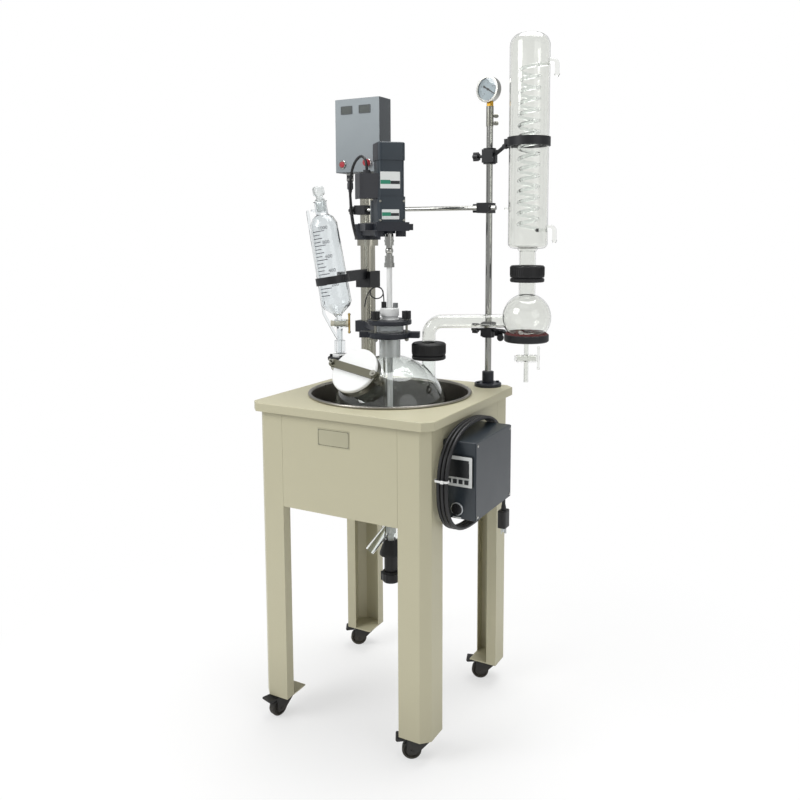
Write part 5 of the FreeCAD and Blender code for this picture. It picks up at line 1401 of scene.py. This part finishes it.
@dataclass
class Cords:
    """The motor cable, the power cord on the heating box and the probe's cable."""

    gland: Vector = field(default_factory=lambda: Vector((-0.0411, -0.02805, 1.382)))
    socket: Vector = field(default_factory=lambda: Vector((-0.213, 0.162, 1.339)))
    inlet: Vector = field(default_factory=lambda: Vector((0.24558, 0.058, 0.745)))
    loop_middle: Spot2 = (-0.054, 0.663)
    loop_half: Spot2 = (0.160, 0.126)
    turns: int = 3
    step: float = 22.5
    pitch: float = 0.00972
    fullness: float = 0.8
    tie: Vector = field(default_factory=lambda: Vector((0.2602, -0.2125, 0.6785)))
    plug_low: float = -0.058
    pins: tuple[Point, ...] = ((-0.003, -0.007, 30.0), (-0.003, 0.007, -30.0), (0.005, 0.0, 90.0))
    probe_side: float = 0.0145
    probe_top: float = 1.052
    probe_turn: float = 30.0

    def _motor_plug(self) -> list[bpy.types.Object]:
        """Makes the round plug under the control box.

        Returns:
            The plug and its bright ring.
        """
        place = Matrix.Translation(self.socket)
        profile = [(0.0, -0.004), (0.0038, -0.004), (0.0042, 0.0), (0.0052, 0.0005), (0.0052, 0.006),
                   (0.0082, 0.009), (0.0085, 0.011), (0.0085, 0.024), (0.0073, 0.0265),
                   (0.0073, 0.0285), (0.0094, 0.031), (0.0095, 0.033), (0.0095, 0.0455), (0.0, 0.0455)]
        plug = Workshop.fit("motor_plug", Workshop.lathe(profile), TERMINAL_GREY, "cord_rubber",
                            matrix=place)
        ring = [(0.0094, 0.0325), (0.0099, 0.0330), (0.0099, 0.0370), (0.0094, 0.0375)]
        band = Workshop.fit("motor_plug_ring", Workshop.lathe(ring), CHROME, "chrome", matrix=place)
        return [plug, band]

    def motor_cable(self) -> None:
        """Makes the cable from the terminal box, hanging down and up again to its plug."""
        down = [
            (0.0, 0.0, 0.0), (0.0, 0.0, 0.022), (-0.022, 0.010, 0.040), (-0.056, 0.024, 0.018),
            (-0.080, 0.044, -0.034), (-0.092, 0.070, -0.096), (-0.104, 0.104, -0.154),
            (-0.126, 0.150, -0.176),
        ]
        up = [(0.010, 0.004, -0.112), (0.0, 0.0, -0.058), (0.0, 0.0, 0.0)]
        points = [self.gland + Vector(s) for s in down] + [self.socket + Vector(s) for s in up]
        lead = Cord("motor_lead", "motor_cable", points, 0.007, 0.498, "connector")
        lead.build(self._motor_plug())

    def _full(self, part: float) -> float:
        """A rounder shape than the circle's sine, so that the loops clear the box corners."""
        return math.copysign(abs(part) ** self.fullness, part)

    def power_cord(self) -> None:
        """Makes the mains cord, wound round the box like a belt, its plug hanging behind."""
        start = [(0.0, 0.0, 0.0), (0.0, 0.032, 0.0), (0.0, 0.058, -0.013), (0.0, 0.072, -0.037),
                 (0.0, 0.074, -0.073), (0.0, 0.062, -0.105)]
        points = [self.inlet + Vector(s) for s in start]
        for k in range(2, int(self.turns * 360 / self.step) + 1):
            angle = math.radians(self.step / 2 - self.step * k)
            points.append(Vector((
                self.inlet.x + self.pitch * k * self.step / 360,
                self.loop_middle[0] + self.loop_half[0] * self._full(math.cos(angle)),
                self.loop_middle[1] + self.loop_half[1] * self._full(math.sin(angle)),
            )))
        last = points[-1]
        drop = [(0.004, 0.001, -0.052), (0.006, -0.004, -0.108), (0.006, -0.004, -0.160)]
        points += [last + Vector(s) for s in drop]
        ends = [*self._plug(points[-1]), self._relief(), self._tie()]
        Cord("mains_lead", "power_cord", points, 0.009, 2.98, "plug", lay=CordLay.COILED).build(ends)

    def _relief(self) -> bpy.types.Object:
        """Makes the ribbed sleeve where the cord leaves the box.

        Returns:
            The sleeve.
        """
        profile = [(0.0044, 0.0), (0.0072, 0.0), (0.0072, 0.004), (0.0060, 0.0055), (0.0064, 0.007),
                   (0.0055, 0.0085), (0.0058, 0.010), (0.0051, 0.0115), (0.0053, 0.013),
                   (0.0047, 0.020), (0.0044, 0.020)]
        return Workshop.fit("cord_relief", Workshop.lathe(profile, 32), BLACK_PLASTIC, "cord_rubber",
                            matrix=Face(self.inlet, -RIGHT).matrix())

    def _plug(self, top: Vector) -> list[bpy.types.Object]:
        """Makes the mains plug, pins down.

        Args:
            top: The cord's end, which the plug hangs from.

        Returns:
            The plug and its pins.
        """
        body = Workshop.slab(Workshop.outline(0.022, 0.034, 0.006), 0.044, 0.0015)
        neck = [(0.0, 0.0), (0.0072, 0.0), (0.0060, 0.005), (0.0064, 0.007), (0.0052, 0.014), (0.0, 0.014)]
        low = Matrix.Translation((0.0, 0.0, self.plug_low))
        parts = [(body, low), (Workshop.lathe(neck, 32), Matrix.Translation((0.0, 0.0, -0.014)))]
        shell = Workshop.fit("mains_plug", Workshop.together(parts), CORD, "cord_rubber",
                             matrix=Matrix.Translation(top))
        pins = []
        for x, y, turn in self.pins:
            pin = Workshop.slab(Workshop.outline(0.0016, 0.0063, 0.0004, 2), 0.017, 0.0004)
            spot = Matrix.Translation((x, y, self.plug_low)) @ Matrix.Rotation(math.radians(turn), 4, "Z")
            pins.append((pin, spot @ Matrix.Rotation(math.pi, 4, "X")))
        blades = Workshop.fit("plug_pins", Workshop.together(pins), RING_STEEL, "stainless",
                              matrix=Matrix.Translation(top))
        return [shell, blades]

    def _tie(self) -> bpy.types.Object:
        """Makes the white tie round the strands at the front of the winding.

        Returns:
            The tie with its head.
        """
        band = Workshop.ring(0.034, 0.0145, 0.0012, 0.006, 0.0048)
        face = Face(self.tie, RIGHT, BACK)
        head = Workshop.slab(Workshop.outline(0.0075, 0.0055, 0.001), 0.0062, 0.0006)
        parts = [(band, face.matrix()), (head, face.matrix(0.004, -0.0085, -0.0007))]
        return Workshop.fit("cord_tie", Workshop.together(parts), TIE, "ptfe")

    def probe_cable(self) -> None:
        """Makes the probe's thin cable in loose loops over the seal."""
        turn = math.radians(self.probe_turn)
        right = Vector((math.cos(turn), math.sin(turn), 0.0))
        forward = Vector((-right.y, right.x, 0.0))
        start = VESSEL_AXIS - right * self.probe_side + UP * self.probe_top
        centre = start - right * 0.018 + UP * 0.024
        points = [start]
        for k in range(9):
            angle = math.radians(20 + 60 * k)
            swing = right * (0.019 * math.cos(angle)) + UP * (0.017 * math.sin(angle))
            points.append(centre + swing - forward * (0.0022 * k))
        tail = points[-1]
        points.append(tail - right * 0.012 - UP * 0.020)
        points.append(tail - right * 0.016 + forward * 0.005 - UP * 0.046)
        Cord("probe_lead", "probe_cable", points, 0.003, 0.205, "bare", "limp", CordLay.COILED).build()

    def build(self) -> None:
        """Makes the three cords."""
        self.motor_cable()
        self.power_cord()
        self.probe_cable()


# Studio
@dataclass(frozen=True)
class SoftBox:
    """A broad soft lamp."""

    name: str
    spot: Point
    size: float
    power: float


@dataclass
class Studio:
    """The floor, the sky, the lamps and the camera."""

    camera_spot: Point = (1.04587, -1.78998, 1.22991)
    yaw: float = 28.6732
    pitch: float = 6.5091
    roll: float = 0.17497
    focal: float = 819.642
    centre: Spot2 = (410.816, 324.950)
    picture: float = 800.0
    sensor: float = 36.0
    floor_half: float = 14.0
    shadow_reach: float = 0.35
    shadow_fade: float = 0.9
    floor_white: float = 0.55
    sky: float = 0.45
    aim: Point = (0.0, 0.0, 0.9)
    lamps: tuple[SoftBox, ...] = (
        SoftBox("key", (-1.9, -2.6, 3.0), 2.2, 66.0),
        SoftBox("fill", (3.2, -1.2, 2.2), 2.4, 15.0),
        SoftBox("top", (0.2, 0.6, 3.6), 2.6, 78.0),
    )

    def build(self) -> None:
        """Sets the camera, the floor, the sky and the lamps."""
        self._camera()
        self._floor()
        self._sky()
        self._lamps()
        bpy.context.scene.view_settings.view_transform = "Standard"

    def _camera(self) -> None:
        """Places the camera where the photograph was taken from."""
        data = bpy.data.cameras.new("camera")
        data.sensor_width = self.sensor
        data.lens = self.sensor * self.focal / self.picture
        data.shift_x = (self.picture / 2 - self.centre[0]) / self.picture
        data.shift_y = (self.centre[1] - self.picture / 2) / self.picture
        data.clip_start, data.clip_end = 0.05, 50.0
        camera = bpy.data.objects.new("camera", data)
        turn = (Matrix.Rotation(math.radians(self.yaw), 4, "Z")
                @ Matrix.Rotation(math.radians(90 - self.pitch), 4, "X")
                @ Matrix.Rotation(math.radians(-self.roll), 4, "Z"))
        camera.matrix_world = Matrix.Translation(self.camera_spot) @ turn
        bpy.context.scene.collection.objects.link(camera)
        bpy.context.scene.camera = camera

    def _floor(self) -> None:
        """Lays a wide pale floor."""
        made = bmesh.new()
        bmesh.ops.create_grid(made, x_segments=1, y_segments=1, size=self.floor_half)
        data = bpy.data.meshes.new("floor")
        made.to_mesh(data)
        made.free()
        data.materials.append(self._floor_finish())
        floor = bpy.data.objects.new("floor", data)
        bpy.context.scene.collection.objects.link(floor)
        floor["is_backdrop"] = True

    def _floor_finish(self) -> bpy.types.Material:
        """Builds the floor's material.

        Returns:
            A pale floor that keeps the shadow near the object and is plain white further off.
        """
        shader = Shader("floor")
        colour = shader.blend(shader.noise(0.8), linear((250, 250, 249)), linear((246, 246, 246)))
        plain = shader.node("ShaderNodeBsdfPrincipled", {}, {"Base Color": colour, "Roughness": 0.8})
        far = shader.node("ShaderNodeVectorMath", {"operation": "LENGTH"}, {0: shader.place()}, "Value")
        stops = {"stops": [(0.0, 0.0), (1.0, 1.0)]}
        away = shader.node("ShaderNodeValToRGB", stops, {0: (far - self.shadow_reach) / self.shadow_fade})
        white = shader.node("ShaderNodeEmission", {}, {"Color": WHITE, "Strength": 1.0})
        share = (self.floor_white + away * (1.0 - self.floor_white)) * shader.seen()
        return shader.close(shader.node("ShaderNodeMixShader", {}, {0: share, 1: plain, 2: white}))

    def _sky(self) -> None:
        """Surrounds the object with a pale sky that is white where it shows."""
        shader = Shader("sky", sky=True)
        pale = {"Color": (0.98, 0.99, 1.0, 1.0), "Strength": self.sky}
        lit = shader.node("ShaderNodeBackground", {}, pale)
        white = shader.node("ShaderNodeBackground", {}, {"Color": WHITE, "Strength": 1.0})
        mixed = shader.node("ShaderNodeMixShader", {}, {0: shader.seen(), 1: lit, 2: white})
        bpy.context.scene.world = shader.close(mixed)

    def _lamps(self) -> None:
        """Hangs the lamps: one on each side of the viewer and one overhead."""
        for box in self.lamps:
            data = bpy.data.lights.new(box.name, "AREA")
            data.shape = "DISK"
            data.size = box.size
            data.energy = box.power
            lamp = bpy.data.objects.new(box.name, data)
            way = Vector(self.aim) - Vector(box.spot)
            turn = way.to_track_quat("-Z", "Y").to_matrix().to_4x4()
            lamp.matrix_world = Matrix.Translation(box.spot) @ turn
            bpy.context.scene.collection.objects.link(lamp)


def corners() -> list[list[float]]:
    """The shown object's lowest and highest corner as plain numbers."""
    return [list(corner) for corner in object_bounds()]


def main() -> None:
    """Builds the studio, then each sub-assembly in order."""
    logging.basicConfig(level=logging.INFO, format="%(name)s: %(message)s")
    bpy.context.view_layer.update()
    Studio().build()
    for assembly in (Table(), Casters(), Bath(), Posts(), Vessel(), Drive(), FeedPort(), Funnel(),
                     RefluxLine(), Gauge(), ControlBox(), HeaterBox(), Drain()):
        assembly.build()
        assembly.dress()
    Cords().build()


if __name__ == "__main__":
    main()
